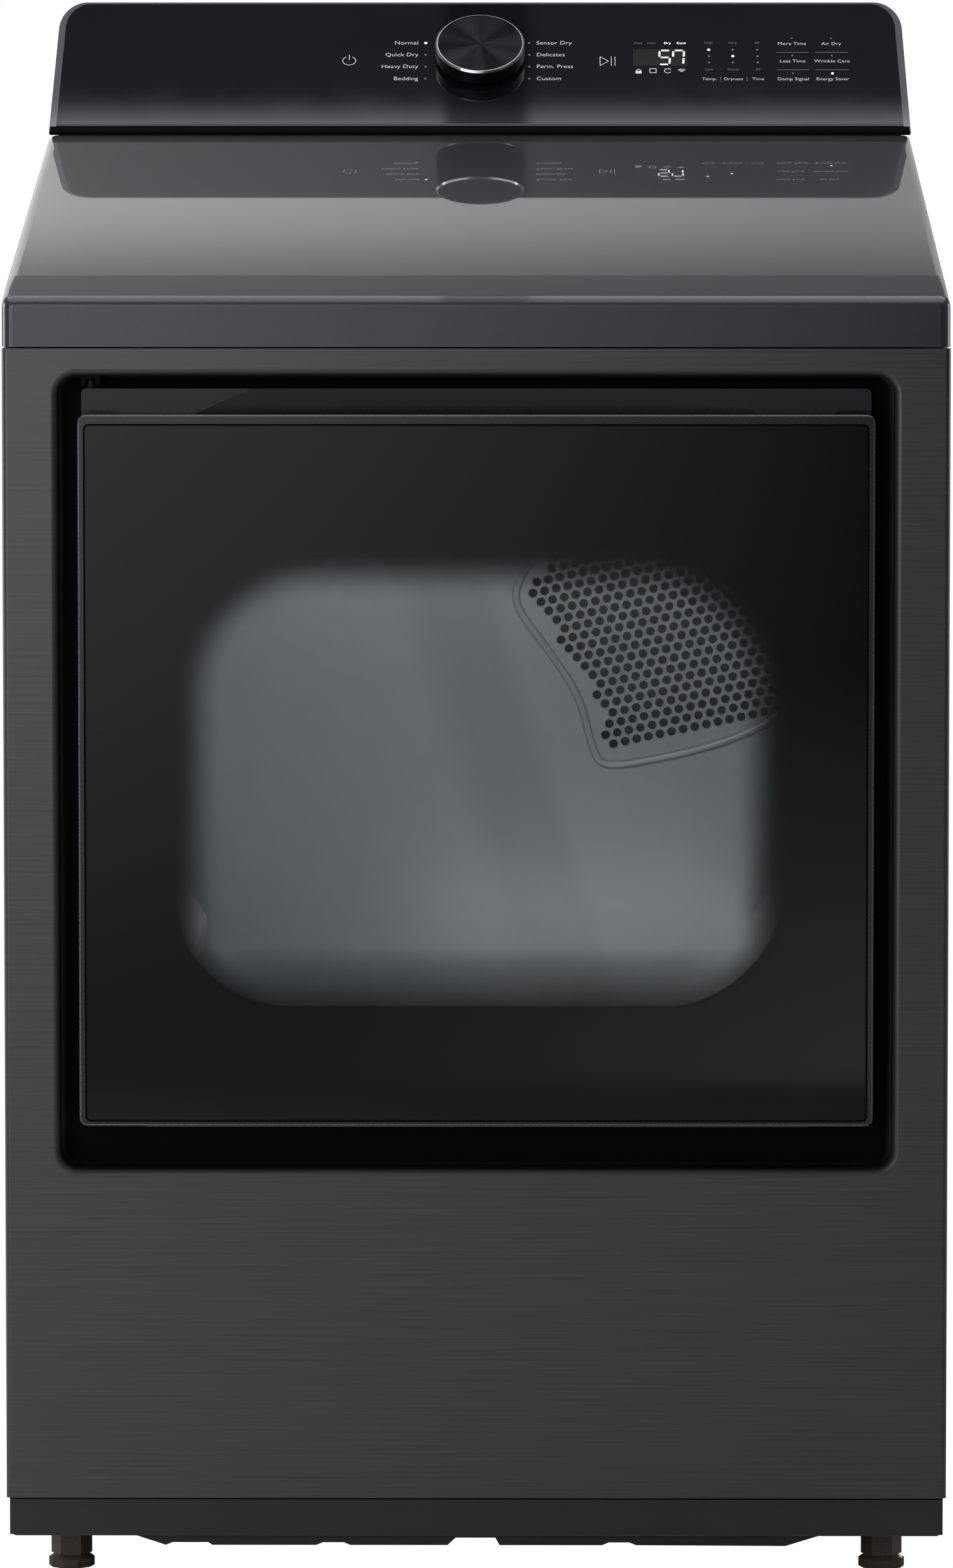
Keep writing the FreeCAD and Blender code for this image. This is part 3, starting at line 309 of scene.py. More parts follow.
# dark stainless sheet with fine level brushing; painted shade darkens its door recess to near black, fading out
# over the rolled rim
def blackSteel():
    look = {"base": (0.142, 0.142, 0.141), "scale": 9.0, "stretchZ": 160.0, "rough": 0.36,
            "roughSpread": 0.06, "metallic": 0.9, "recess": (0.002, 0.002, 0.0025), "recessRough": 0.35,
            "recessCorner": 0.014, "rimShadeFade": 0.005}
    material, tree, shader = startMaterial("blackSteel")
    coarse = placeGrain(tree, look["scale"], 4.0, (1.0, 1.0, look["stretchZ"]))
    fine = placeGrain(tree, look["scale"] * 2.0, 2.0, (1.0, 1.0, look["stretchZ"] * 3.0))
    both = mathNode(tree, "MULTIPLY", mathNode(tree, "ADD", coarse["Grain"], fine["Grain"]), 0.5)
    streaks = remap(tree, both, 0.0, 1.0, 0.36, 0.64)
    color = mixColors(tree, streaks, toned(look["base"], 0.86), toned(look["base"], 1.14))
    low, high = recessBox
    edges = {"Corner": look["recessCorner"], "Fade": look["rimShadeFade"]}
    for i, axis in ((0, "X"), (2, "Z")):
        edges["Centre " + axis] = (low[i] + high[i]) / 2
        edges["Half " + axis] = (high[i] - low[i]) / 2
    # painted shade: near black inside the door recess, fading out across its rolled rim
    recess = placeGroup(tree, roundedMaskGroup, edges)["Mask"]
    brushed = remap(tree, both, look["rough"] - look["roughSpread"], look["rough"] + look["roughSpread"])
    addBump(tree, shader, both, 0.10, 0.0002)
    feedAll(tree, {"Base Color": mixColors(tree, recess, color, look["recess"]),
                   "Roughness": mathNode(tree, "MULTIPLY_ADD", recess, look["recessRough"], brushed),
                   "Metallic": mathNode(tree, "MULTIPLY_ADD", recess, -look["metallic"], look["metallic"]),
                   "Specular IOR Level": 0.15}, shader)
    return material


# purple-grey metallic enamel under a clear coat, with fine flake
def coverEnamel():
    look = {"base": (0.084, 0.077, 0.096), "flake": 2600.0, "rough": 0.42, "roughSpread": 0.03,
            "wearAndSheen": 0.10, "wearAndSheenWidth": 0.001, "wornAndSheenTint": (0.24, 0.23, 0.26), "dust": 0.02,
            "dustTint": (0.4, 0.4, 0.4)}
    material, tree, shader = startMaterial("coverEnamel")
    grain = placeGrain(tree, look["flake"])
    flakes = remap(tree, grain["Grain"], 0.0, 1.0)
    color = mixColors(tree, flakes, toned(look["base"], 0.86), toned(look["base"], 1.16))
    dust = placeGroup(tree, dustGroup, {"Amount": look["dust"], "Scale": 30.0})
    color = mixColors(tree, dust["Mask"], color, look["dustTint"])
    # lighter edges: partly wear, partly a painted highlight along them
    wearAndSheen = placeGroup(tree, edgeWearAndSheenGroup, {"Width": look["wearAndSheenWidth"], "Amount": look["wearAndSheen"]})
    low = look["rough"] - look["roughSpread"]
    high = look["rough"] + look["roughSpread"]
    feedAll(tree, {"Base Color": mixColors(tree, wearAndSheen["Mask"], color, look["wornAndSheenTint"]),
                   "Roughness": remap(tree, grain["Cloud"], low, high), "Metallic": 0.7,
                   "Coat Weight": 1.0, "Coat Roughness": 0.02, "Coat IOR": 1.5}, shader)
    return material


# a deep black polished surface with the faintest waviness
def polishedPanel(name, base, rough=0.04):
    material, tree, shader = startMaterial(name)
    grain = placeGrain(tree, 30.0)
    clouded = remap(tree, grain["Cloud"], 0.0, 1.0)
    feedAll(tree, {"Base Color": mixColors(tree, clouded, toned(base, 0.9), toned(base, 1.1)),
                   "Roughness": remap(tree, grain["Grain"], rough, rough + 0.015),
                   "IOR": 1.5, "Specular Tint": (0.90, 0.90, 1.0, 1.0)}, shader)
    return material


# black printed glass whose dotted print thins out to a clear window
def doorGlass():
    low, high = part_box("door_glass")
    centreZ = (low[2] + high[2]) / 2
    look = {"inner": {"Centre X": 0.001, "Centre Z": centreZ - 0.022, "Half X": 0.207, "Half Z": 0.169,
                      "Corner": 0.090, "Fade": 0.026},
            "outer": {"Centre X": 0.004, "Centre Z": centreZ - 0.003, "Half X": 0.222, "Half Z": 0.1665,
                      "Corner": 0.080, "Fade": 0.0006},
            "ink": (0.0052, 0.0052, 0.0056), "tint": (0.020, 0.023, 0.026), "clearAlpha": 0.36,
            "dotPitch": 0.00145, "dotDepth": 1.6, "bottomEdge": 0.30, "bottomFrom": 0.419, "bottomTo": 0.462}
    material, tree, shader = startMaterial("doorGlass")
    soft = placeGroup(tree, roundedMaskGroup, look["inner"])["Mask"]
    crisp = placeGroup(tree, roundedMaskGroup, look["outer"])["Mask"]
    spot = objectAxes(tree)
    # the print starts hard along the bottom and thins upward from there
    lift = remap(tree, spot["Z"], look["bottomEdge"], 1.0, look["bottomFrom"], look["bottomTo"])
    clear = product(tree, soft, crisp, lift)
    # rows of dots, each turned an eighth from level
    wave = 2 * math.pi / look["dotPitch"]
    dots = []
    for way in (1.0, -1.0):
        slanted = mathNode(tree, "ADD", spot["X"], mathNode(tree, "MULTIPLY", spot["Z"], way))
        dots.append(mathNode(tree, "SINE", mathNode(tree, "MULTIPLY", slanted, wave)))
    # they show only part way through the fade
    between = product(tree, clear, mathNode(tree, "SUBTRACT", 1.0, clear), look["dotDepth"])
    mask = mathNode(tree, "ADD", clear, product(tree, *dots, between), clamp=True)
    feedAll(tree, {"Alpha": remap(tree, mask, 1.0, look["clearAlpha"], 0.0, 1.0), "IOR": 1.5,
                   "Base Color": mixColors(tree, mask, look["ink"], look["tint"]),
                   "Roughness": remap(tree, placeGrain(tree, 20.0, 2.0)["Cloud"], 0.03, 0.06)}, shader)
    return material


def clearBowl():
    material, tree, shader = startMaterial("clearBowl")
    feedAll(tree, {"Roughness": remap(tree, placeGrain(tree, 12.0)["Cloud"], 0.03, 0.10),
                   "Base Color": (0.55, 0.58, 0.60, 1.0), "Alpha": 0.06, "IOR": 1.45}, shader)
    return material


# grey-blue baked enamel; a broad band of painted shade runs down across it, a shade darker, standing in for a
# pressed facet turned from the light
def drumEnamel():
    look = {"base": (0.150, 0.172, 0.182), "paintedFacetShade": (0.118, 0.134, 0.142), "rough": 0.36, "roughSpread": 0.04,
            "lean": 0.31, "left": (0.135, 0.165), "right": (0.212, 0.222), "depth": 0.9}
    material, tree, shader = startMaterial("drumEnamel")
    grain = placeGrain(tree, 500.0, 2.0)
    spot = objectAxes(tree)
    # distance across a band that leans to the right as it goes down
    across = mathNode(tree, "ADD", spot["X"], mathNode(tree, "MULTIPLY", spot["Z"], look["lean"]))
    left = remap(tree, across, 0.0, 1.0, *look["left"])
    right = remap(tree, across, 1.0, 0.0, *look["right"])
    facetShadeBand = mathNode(tree, "MULTIPLY", left, right, clamp=True)
    # painted shade: the band darkens the enamel as a tilted facet would be shaded
    color = mixColors(tree, mathNode(tree, "MULTIPLY", facetShadeBand, look["depth"]), look["base"], look["paintedFacetShade"])
    color = mixColors(tree, remap(tree, grain["Cloud"], 0.0, 0.2), color, toned(look["base"], 0.8))
    low = look["rough"] - look["roughSpread"]
    high = look["rough"] + look["roughSpread"]
    addBump(tree, shader, grain["Grain"], 0.1, 0.0002)
    feedAll(tree, {"Base Color": color, "Roughness": remap(tree, grain["Grain"], low, high),
                   "Coat Weight": 0.2, "Coat Roughness": 0.2}, shader)
    return material


# coordinates on the knob: across it in X and Y, and up its axis in Z from the panel
def knobAxes(tree):
    values = {"Vector": objectCoords(tree), "Location": knobFoot, "Rotation": (panelRecline, 0.0, 0.0)}
    mapping = addNode(tree, "ShaderNodeMapping", values, vector_type="TEXTURE")
    return addNode(tree, "ShaderNodeSeparateXYZ", {0: mapping.outputs[0]}).outputs


# spun metal: painted sheen in wedges of light and dark colour that turn about the knob's axis, standing in for
# its reflections, and fine rings
def knobMetal():
    look = {"base": (0.0070, 0.0075, 0.0090), "light": (0.022, 0.024, 0.028), "ringPitch": 0.0011,
            "sheenWedges": ((2.0, 0.5), (5.0, 1.3))}
    material, tree, shader = startMaterial("knobMetal")
    spot = knobAxes(tree)
    angle = mathNode(tree, "ARCTAN2", spot["Y"], spot["X"])
    waves = []
    for count, phase in look["sheenWedges"]:
        turned = mathNode(tree, "ADD", mathNode(tree, "MULTIPLY", angle, count), phase)
        waves.append(mathNode(tree, "SINE", turned))
    sheenWedges = product(tree, *waves)
    squares = [mathNode(tree, "MULTIPLY", spot[axis], spot[axis]) for axis in "XY"]
    radius = mathNode(tree, "SQRT", mathNode(tree, "ADD", *squares))
    rings = mathNode(tree, "SINE", mathNode(tree, "MULTIPLY", radius, 2 * math.pi / look["ringPitch"]))
    addBump(tree, shader, rings, 0.12, 0.0001)
    # painted sheen: the bright wedges take the lighter colour
    lit = remap(tree, sheenWedges, 0.0, 1.0, -0.7, 0.9)
    feedAll(tree, {"Base Color": mixColors(tree, lit, look["base"], look["light"]),
                   "Roughness": remap(tree, sheenWedges, 0.38, 0.26, -1.0, 1.0),
                   "Metallic": 1.0, "Anisotropic": 0.5}, shader)
    return material


# bright chrome round the knob's top edge, black below it
def knobChrome():
    look = {"chrome": (0.86, 0.87, 0.90), "side": (0.006, 0.006, 0.007), "from": 0.0141, "to": 0.0143,
            "rough": 0.14, "sideRough": 0.30}
    material, tree, shader = startMaterial("knobChrome")
    bright = remap(tree, knobAxes(tree)["Z"], 0.0, 1.0, look["from"], look["to"])
    tone = remap(tree, placeGrain(tree, 900.0, 3.0, (1.0, 30.0, 30.0))["Grain"], 0.0, 1.0)
    chrome = mixColors(tree, tone, toned(look["chrome"], 0.94), look["chrome"])
    feedAll(tree, {"Base Color": mixColors(tree, bright, look["side"], chrome), "Metallic": bright,
                   "Roughness": remap(tree, bright, look["sideRough"], look["rough"], 0.0, 1.0)}, shader)
    return material


# legend ink that is lit from behind
def legendInk(name, color, strength):
    material, tree, shader = startMaterial(name)
    grained = remap(tree, placeGrain(tree, 900.0)["Grain"], 0.0, 1.0)
    ink = mixColors(tree, grained, toned(color, 0.85), color)
    feedAll(tree, {"Base Color": ink, "Emission Color": ink, "Roughness": 0.5,
                   "Emission Strength": strength}, shader)
    return material


# the control panel's own plane, from the knob's axis
for joint in frame["record"]["behaviour"]["joints"]:
    if joint["name"] == "knob_turn":
        knobAxis = Vector(joint["axis"])
        knobFoot = Vector(joint["pos_m"])
panelRecline = math.atan2(-knobAxis.y, knobAxis.z)
panelUp = Vector((0.0, math.cos(panelRecline), math.sin(panelRecline)))
knobUpPanel = 0.088
panelOrigin = knobFoot - panelUp * knobUpPanel
panelPlace = Matrix.Translation(panelOrigin) @ Matrix.Rotation(panelRecline, 4, "X")

# the recess reaches a door gap beyond the door frame all round
frameLow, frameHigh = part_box("door_frame")
doorGap = {"side": 0.016, "below": 0.0335, "above": 0.0295}
recessBox = ((frameLow[0] - doorGap["side"], 0.0, frameLow[2] - doorGap["below"]),
             (frameHigh[0] + doorGap["side"], 0.0, frameHigh[2] + doorGap["above"]))

finishes = {name: grainFinish(name, look) for name, look in finishLooks.items()}
finishes.update({"black_steel": blackSteel(), "cover_enamel": coverEnamel(), "door_glass": doorGlass(),
                 "control_glass": polishedPanel("controlGlass", (0.006, 0.006, 0.009)),
                 "clear_bowl": clearBowl(), "drum_enamel": drumEnamel(), "knob_metal": knobMetal(),
                 "knob_chrome": knobChrome()})
print("finishes made:", len(finishes))

# two nodes are darker than the slot they share with others
nodeFinishes = {"heater_duct": "heatBlackened", "hinge_brackets": "blackOxide"}
for part in frame["record"]["subparts"]:
    finish = nodeFinishes.get(part["node"], part["material_slot"])
    for materialSlot in nodes[part["node"]].material_slots:
        materialSlot.material = finishes[finish]


# pieces

def newObject(name, data):
    item = bpy.data.objects.new(name, data)
    bpy.context.scene.collection.objects.link(item)
    return item


# the finished mesh of a passing object, which is then removed
def takeMesh(holder):
    graph = bpy.context.evaluated_depsgraph_get()
    mesh = bpy.data.meshes.new_from_object(holder.evaluated_get(graph))
    bpy.data.objects.remove(holder)
    return mesh


def closeMesh(name, bm):
    mesh = bpy.data.meshes.new(name)
    bm.to_mesh(mesh)
    bm.free()
    return mesh


def addPiece(mesh, material, body):
    piece = newObject(mesh.name, mesh)
    if not mesh.materials:
        mesh.materials.append(material)
    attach(piece, body)
    return piece


mm = 0.001
inkThick = 0.00006


# text as a thin solid mesh, in its own plane
def textMesh(words, size, align):
    curve = bpy.data.curves.new("words", "FONT")
    curve.body = words
    curve.size = size
    curve.align_x = align
    curve.align_y = "CENTER"
    curve.extrude = inkThick / 2
    curve.offset = -size * 0.012
    curve.resolution_u = 3
    mesh = takeMesh(newObject("words", curve))
    bpy.data.curves.remove(curve)
    return mesh


# the legend shapes below take millimetres on the panel

# a thin plate with the given outline
def addFlat(bm, points):
    low = [bm.verts.new((x * mm, s * mm, 0.0)) for x, s in points]
    high = [bm.verts.new(v.co + Vector((0, 0, inkThick))) for v in low]
    bm.faces.new(list(reversed(low)))
    bm.faces.new(high)
    for i in range(len(points)):
        j = (i + 1) % len(points)
        bm.faces.new((low[i], low[j], high[j], high[i]))


def addLine(bm, a, b, width):
    a = Vector(a)
    b = Vector(b)
    side = (b - a).orthogonal().normalized() * width / 2
    addFlat(bm, [a - side, b - side, b + side, a + side][::-1])


def addOutline(bm, corners, width):
    for a, b in zip(corners, corners[1:] + corners[:1]):
        addLine(bm, a, b, width)


def onCircle(centre, radius, turn):
    return centre[0] + radius * math.cos(turn), centre[1] + radius * math.sin(turn)


# a bent stroke, as short plates end to end
def addArc(bm, centre, radius, start, stop, width, steps):
    for i in range(steps):
        here, there = (math.radians(start + (stop - start) * k / steps) for k in (i, i + 1))
        inner = radius - width / 2
        outer = radius + width / 2
        addFlat(bm, [onCircle(centre, inner, here), onCircle(centre, outer, here),
                     onCircle(centre, outer, there), onCircle(centre, inner, there)])


def addDot(bm, centre, radius):
    addFlat(bm, [onCircle(centre, radius, 2 * math.pi * i / 16) for i in range(16)])


def addWords(bm, words, x, s, size, align="CENTER"):
    mesh = textMesh(words, size * mm, align)
    mesh.transform(Matrix.Translation((x * mm, s * mm, inkThick / 2)))
    bm.from_mesh(mesh)
    bpy.data.meshes.remove(mesh)


legends = {
    "dotRadius": 0.95, "word": 6.2, "caption": 4.7, "button": 5.1, "small": 3.7, "stroke": 0.5, "fine": 0.6,
    "litDot": 1.25, "buttonDot": 0.8, "litButtonDot": 1.2,
    "rows": (106.4, 91.9, 77.5, 62.7),
    "left": ("Normal", "Quick Dry", "Heavy Duty", "Bedding"), "leftDot": -43.8, "leftWord": -49.5,
    "right": ("Sensor Dry", "Delicates", "Perm. Press", "Custom"), "rightDot": 39.4, "rightWord": 45.0,
    "columns": ((183.6, "High", "Low", "Temp.", 0), (202.8, "Very", "Damp", "Dryness", 1),
                (222.6, "60", "20", "Time", -1)),
    "columnDots": (98.1, 90.3, 82.5), "columnTop": 106.6, "columnFoot": 74.0, "captionRow": 62.3,
    "bars": (192.6, 213.6), "bar": (59.5, 65.0, 0.4),
    "buttons": ((250.6, ("More Time", "Less Time", "Damp Signal")),
                (282.2, ("Air Dry", "Wrinkle Care", "Energy Saver"))),
    "buttonRows": (105.5, 84.1, 62.3), "dotLift": 6.9, "ruleDrop": 10.6, "ruleHalf": 13.0, "rule": 0.45,
    "power": (-105.0, 84.6), "powerRadius": 5.2, "powerGap": (118, 422), "powerBar": (85.5, 92.0),
    "startSign": [(96.2, 78.6), (96.2, 89.6), (103.0, 84.1)], "pauseBars": (105.2, 108.2),
    "display": (122.8, 165.9, 78.6, 98.9), "digits": ((143.2, "acdfg"), (154.2, "abcf")), "digitRow": 80.2,
    "states": ((127.0, "Flow", False), (138.0, "Filter", False), (150.5, "Dry", True), (161.5, "Cool", True)),
    "stateRow": 106.2, "lockBody": ((124.6, 70.6), (129.4, 70.6), 3.2), "lockBow": ((127.0, 72.4), 1.7, 0, 180),
    "boxSign": [(136, 70), (141, 70), (141, 75), (136, 75)], "turnSign": ((150.3, 72.4), 2.6, 20, 330),
    "fanFoot": (161.5, 70.2), "fanRadii": (1.4, 2.8, 4.2), "fanSpread": (45, 135),
}
digit = {"wide": 8.6, "high": 17.0, "stroke": 1.35, "lean": 0.06, "gap": 0.14,
         "a": ((0, 1), (1, 1)), "b": ((1, 1), (1, 0.5)), "c": ((1, 0.5), (1, 0)), "d": ((0, 0), (1, 0)),
         "e": ((0, 0.5), (0, 0)), "f": ((0, 1), (0, 0.5)), "g": ((0, 0.5), (1, 0.5))}


# a seven-segment figure; shape lists the segments that are drawn
def addDigit(bm, x, s, shape):
    for segment in shape:
        ends = [Vector((x + u * digit["wide"] + digit["lean"] * v * digit["high"], s + v * digit["high"]))
                for u, v in digit[segment]]
        addLine(bm, ends[0].lerp(ends[1], digit["gap"]), ends[1].lerp(ends[0], digit["gap"]), digit["stroke"])


def makeLegends():
    lit = bmesh.new()
    dim = bmesh.new()
    faint = bmesh.new()
    dot = legends["dotRadius"]
    stroke = legends["stroke"]
    fine = legends["fine"]
    for i, s in enumerate(legends["rows"]):
        share = legends["litDot"] if i == 0 else 1.0
        addDot(lit if i == 0 else faint, (legends["leftDot"], s), dot * share)
        addDot(faint, (legends["rightDot"], s), dot)
        addWords(dim, legends["left"][i], legends["leftWord"], s, legends["word"], "RIGHT")
        addWords(dim, legends["right"][i], legends["rightWord"], s, legends["word"], "LEFT")
    for x, top, foot, caption, litRow in legends["columns"]:
        addWords(faint, top, x, legends["columnTop"], legends["small"])
        addWords(faint, foot, x, legends["columnFoot"], legends["small"])
        addWords(dim, caption, x, legends["captionRow"], legends["caption"])
        for i, s in enumerate(legends["columnDots"]):
            addDot(lit if i == litRow else faint, (x, s), dot * (legends["litDot"] if i == litRow else 1.0))
    low, high, width = legends["bar"]
    for x in legends["bars"]:
        addLine(faint, (x, low), (x, high), width)
    for column, (x, words) in enumerate(legends["buttons"]):
        for row, s in enumerate(legends["buttonRows"]):
            addWords(dim, words[row], x, s, legends["button"])
            isLit = column == 1 and row == 2
            share = legends["litButtonDot"] if isLit else legends["buttonDot"]
            addDot(lit if isLit else faint, (x, s + legends["dotLift"]), dot * share)
            if row < 2:
                level = s - legends["ruleDrop"]
                half = legends["ruleHalf"]
                addLine(faint, (x - half, level), (x + half, level), legends["rule"])
    # power sign: a broken ring and a bar
    addArc(dim, legends["power"], legends["powerRadius"], *legends["powerGap"], stroke, 32)
    addLine(dim, *((legends["power"][0], s) for s in legends["powerBar"]), stroke)
    # start and pause sign: a triangle and two bars
    addOutline(dim, legends["startSign"], stroke)
    for x in legends["pauseBars"]:
        addLine(dim, *((x, s) for x0, s in legends["startSign"][:2]), stroke)
    for x, shape in legends["digits"]:
        addDigit(lit, x, legends["digitRow"], shape)
    for x, words, bright in legends["states"]:
        addWords(lit if bright else faint, words, x, legends["stateRow"], legends["small"])
    # four small state signs under the figures: a lock, a box, a turn and a fan of arcs
    addLine(dim, *legends["lockBody"])
    addArc(dim, *legends["lockBow"], fine, 12)
    addOutline(dim, legends["boxSign"], fine)
    addArc(dim, *legends["turnSign"], fine, 20)
    for radius in legends["fanRadii"]:
        addArc(dim, legends["fanFoot"], radius, *legends["fanSpread"], fine, 10)
    inks = (("legendsLit", lit, legendInk("litInk", (1.0, 1.0, 1.0), 1.6)),
            ("legendsDim", dim, legendInk("dimInk", (0.52, 0.53, 0.56), 0.75)),
            ("legendsFaint", faint, legendInk("faintInk", (0.13, 0.13, 0.14), 0.6)))
    x0, x1, s0, s1 = legends["display"]
    window = bmesh.new()
    addFlat(window, [(x0, s0), (x1, s0), (x1, s1), (x0, s1)])
    tint = polishedPanel("displayTint", (0.020, 0.021, 0.019), 0.08)
    # the words stand just proud of the glass, and the window just in it
    layers = [(*ink, 0.00004) for ink in inks] + [("displayWindow", window, tint, -0.00003)]
    for name, bm, material, lift in layers:
        mesh = closeMesh(name, bm)
        mesh.transform(panelPlace @ Matrix.Translation((0, 0, lift)))
        addPiece(mesh, material, "cabinet")


makeLegends()
print("legends made")


# a closed bar along X between two ends, from its section's points in Y and Z
def barMesh(name, section, halfX):
    bm = bmesh.new()
    ends = [[bm.verts.new((x, y, z)) for y, z in section] for x in (-halfX, halfX)]
    bm.faces.new(ends[0])
    bm.faces.new(list(reversed(ends[1])))
    for i in range(len(section)):
        j = (i + 1) % len(section)
        bm.faces.new((ends[0][i], ends[1][i], ends[1][j], ends[0][j]))
    bmesh.ops.recalc_face_normals(bm, faces=bm.faces)
    return closeMesh(name, bm)


consoleLip = {"low": 4.4, "high": 7.6, "thick": 1.0, "round": 0.4, "foot": 0.03, "halfX": 0.3366,
              "gapShadeFront": 1.4, "gapShadeThick": 0.5, "gapShadeDeep": 12.0, "gapShadeHalfX": 0.3415, "gapShadeHeel": 0.6,
              "heelIn": 0.9, "footIn": 0.1, "noseDrop": 1.2, "coverClear": 0.05}


# a moulded lip along the bottom of the control glass, and under it a matte black strip on the cover that paints
# the shade in the gap there
def makeConsoleLip():
    def onPanel(along, out):
        spot = panelPlace @ Vector((0.0, along * mm, out * mm))
        return spot.y, spot.z

    low, high, thick, turn, foot = (consoleLip[key] for key in ("low", "high", "thick", "round", "foot"))
    section = [onPanel(low, foot), onPanel(low, thick - turn)]
    for i in range(1, 5):
        angle = math.pi / 8 * i
        section.append(onPanel(low + turn - turn * math.cos(angle), thick - turn + turn * math.sin(angle)))
    for i in range(5):
        angle = math.pi / 8 * i
        section.append(onPanel(high - turn + turn * math.sin(angle), thick - turn + turn * math.cos(angle)))
    section.append(onPanel(high, foot))
    addPiece(barMesh("consoleLip", section, consoleLip["halfX"]), finishes["lipPlastic"], "cabinet")
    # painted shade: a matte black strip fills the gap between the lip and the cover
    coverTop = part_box("top_cover")[1][2] + consoleLip["coverClear"] * mm
    footY, footZ = onPanel(0.0, foot)
    front = footY - consoleLip["gapShadeFront"] * mm
    rear = front + consoleLip["gapShadeDeep"] * mm
    heel = coverTop + consoleLip["gapShadeHeel"] * mm
    section = [(front, coverTop), (rear, coverTop), (rear, heel), (footY - consoleLip["heelIn"] * mm, heel),
               (footY - consoleLip["footIn"] * mm, footZ), onPanel(low, foot),
               onPanel(low, consoleLip["gapShadeThick"]), onPanel(0.0, consoleLip["gapShadeThick"]),
               (front, footZ - consoleLip["noseDrop"] * mm)]
    addPiece(barMesh("consoleGapShade", section, consoleLip["gapShadeHalfX"]), finishes["sealAndGapShadeBlack"], "cabinet")


makeConsoleLip()
print("console lip made")


# what repeats, or follows a path

def startGeometry(name, inputs):
    return startTree(name, "GeometryNodeTree", inputs, {"Geometry": "NodeSocketGeometry"})


def endGeometry(tree, out, geometry, material):
    realize = addNode(tree, "GeometryNodeRealizeInstances", {0: geometry})
    finish = addNode(tree, "GeometryNodeSetMaterial", {0: realize.outputs[0], "Material": material})
    feed(tree, finish.outputs[0], out[0])
    return tree


# runs a tree on a seed mesh and keeps the result as a plain mesh
def growMesh(name, seed, tree, values):
    holder = newObject(name, seed)
    modifier = holder.modifiers.new("grow", "NODES")
    modifier.node_group = tree
    for item in tree.interface.items_tree:
        if item.in_out == "INPUT" and item.name in values:
            modifier[item.identifier] = values[item.name]
    grown = takeMesh(holder)
    grown.name = name
    return grown


# a half-buried round bead along the seed's edges
def beadTree(material):
    tree, inp, out = startGeometry("beadAlongLine", {"Radius": 0.002, "Step": 0.006})
    line = addNode(tree, "GeometryNodeMeshToCurve", {0: inp["Geometry"]})
    spline = addNode(tree, "GeometryNodeCurveSplineType", {0: line.outputs[0]}, spline_type="NURBS")
    even = addNode(tree, "GeometryNodeResampleCurve", {"Curve": spline.outputs[0], "Length": inp["Step"]},
                   mode="LENGTH")
    ring = addNode(tree, "GeometryNodeCurvePrimitiveCircle", {"Resolution": 10, "Radius": inp["Radius"]})
    sweep = addNode(tree, "GeometryNodeCurveToMesh",
                    {"Curve": even.outputs[0], "Profile Curve": ring.outputs[0]})
    return endGeometry(tree, out, sweep.outputs[0], material)


# one copy of the shape on each seed point, tipped to face along Y
def placeAlongY(tree, points, shape, quarterTurns):
    turn = (quarterTurns * math.pi / 2, 0.0, 0.0)
    return addNode(tree, "GeometryNodeInstanceOnPoints",
                   {"Points": points, "Instance": shape, "Rotation": turn}).outputs[0]


# a rolled ring round each seed point
def ringTree(material):
    tree, inp, out = startGeometry("ringAtPoints", {"Radius": 0.004, "Lip": 0.0004})
    circle = addNode(tree, "GeometryNodeCurvePrimitiveCircle", {"Resolution": 14, "Radius": inp["Radius"]})
    lip = addNode(tree, "GeometryNodeCurvePrimitiveCircle", {"Resolution": 5, "Radius": inp["Lip"]})
    sweep = addNode(tree, "GeometryNodeCurveToMesh",
                    {"Curve": circle.outputs[0], "Profile Curve": lip.outputs[0]})
    rings = placeAlongY(tree, inp["Geometry"], sweep.outputs[0], 1)
    return endGeometry(tree, out, rings, material)


# a hexagon head on its own flange at each seed point
def screwTree(material):
    sizes = {"Head": 0.0042, "Height": 0.003, "Flange": 0.0052, "Flange Height": 0.0008}
    tree, inp, out = startGeometry("hexScrews", sizes)
    join = addNode(tree, "GeometryNodeJoinGeometry")
    for sides, radius, height in ((6, "Head", "Height"), (24, "Flange", "Flange Height")):
        body = addNode(tree, "GeometryNodeMeshCylinder",
                       {"Vertices": sides, "Radius": inp[radius], "Depth": inp[height]})
        lift = addNode(tree, "ShaderNodeCombineXYZ", {"Z": mathNode(tree, "MULTIPLY", inp[height], 0.5)})
        raised = addNode(tree, "GeometryNodeTransform",
                         {"Geometry": body.outputs["Mesh"], "Translation": lift.outputs[0]})
        feed(tree, raised.outputs[0], join.inputs[0])
    screws = placeAlongY(tree, inp["Geometry"], join.outputs[0], -1)
    return endGeometry(tree, out, screws, material)


def pointMesh(name, points, edges=()):
    mesh = bpy.data.meshes.new(name)
    mesh.from_pydata([tuple(p) for p in points], list(edges), [])
    return mesh


def closedLine(name, points):
    return pointMesh(name, points, [(i, (i + 1) % len(points)) for i in range(len(points))])


# the lowest and highest corners of each separate solid in a node
def solidBoxes(node):
    bm = bmesh.new()
    bm.from_mesh(nodes[node].data)
    bmesh.ops.remove_doubles(bm, verts=bm.verts, dist=0.00001)
    bm.verts.index_update()
    seen = set()
    boxes = []
    for start in bm.verts:
        if start.index in seen:
            continue
        seen.add(start.index)
        queue = [start]
        island = []
        while queue:
            vertex = queue.pop()
            island.append(vertex.co.copy())
            for edge in vertex.link_edges:
                other = edge.other_vert(vertex)
                if other.index not in seen:
                    seen.add(other.index)
                    queue.append(other)
        boxes.append([[pick(c[i] for c in island) for i in range(3)] for pick in (min, max)])
    bm.free()
    return boxes


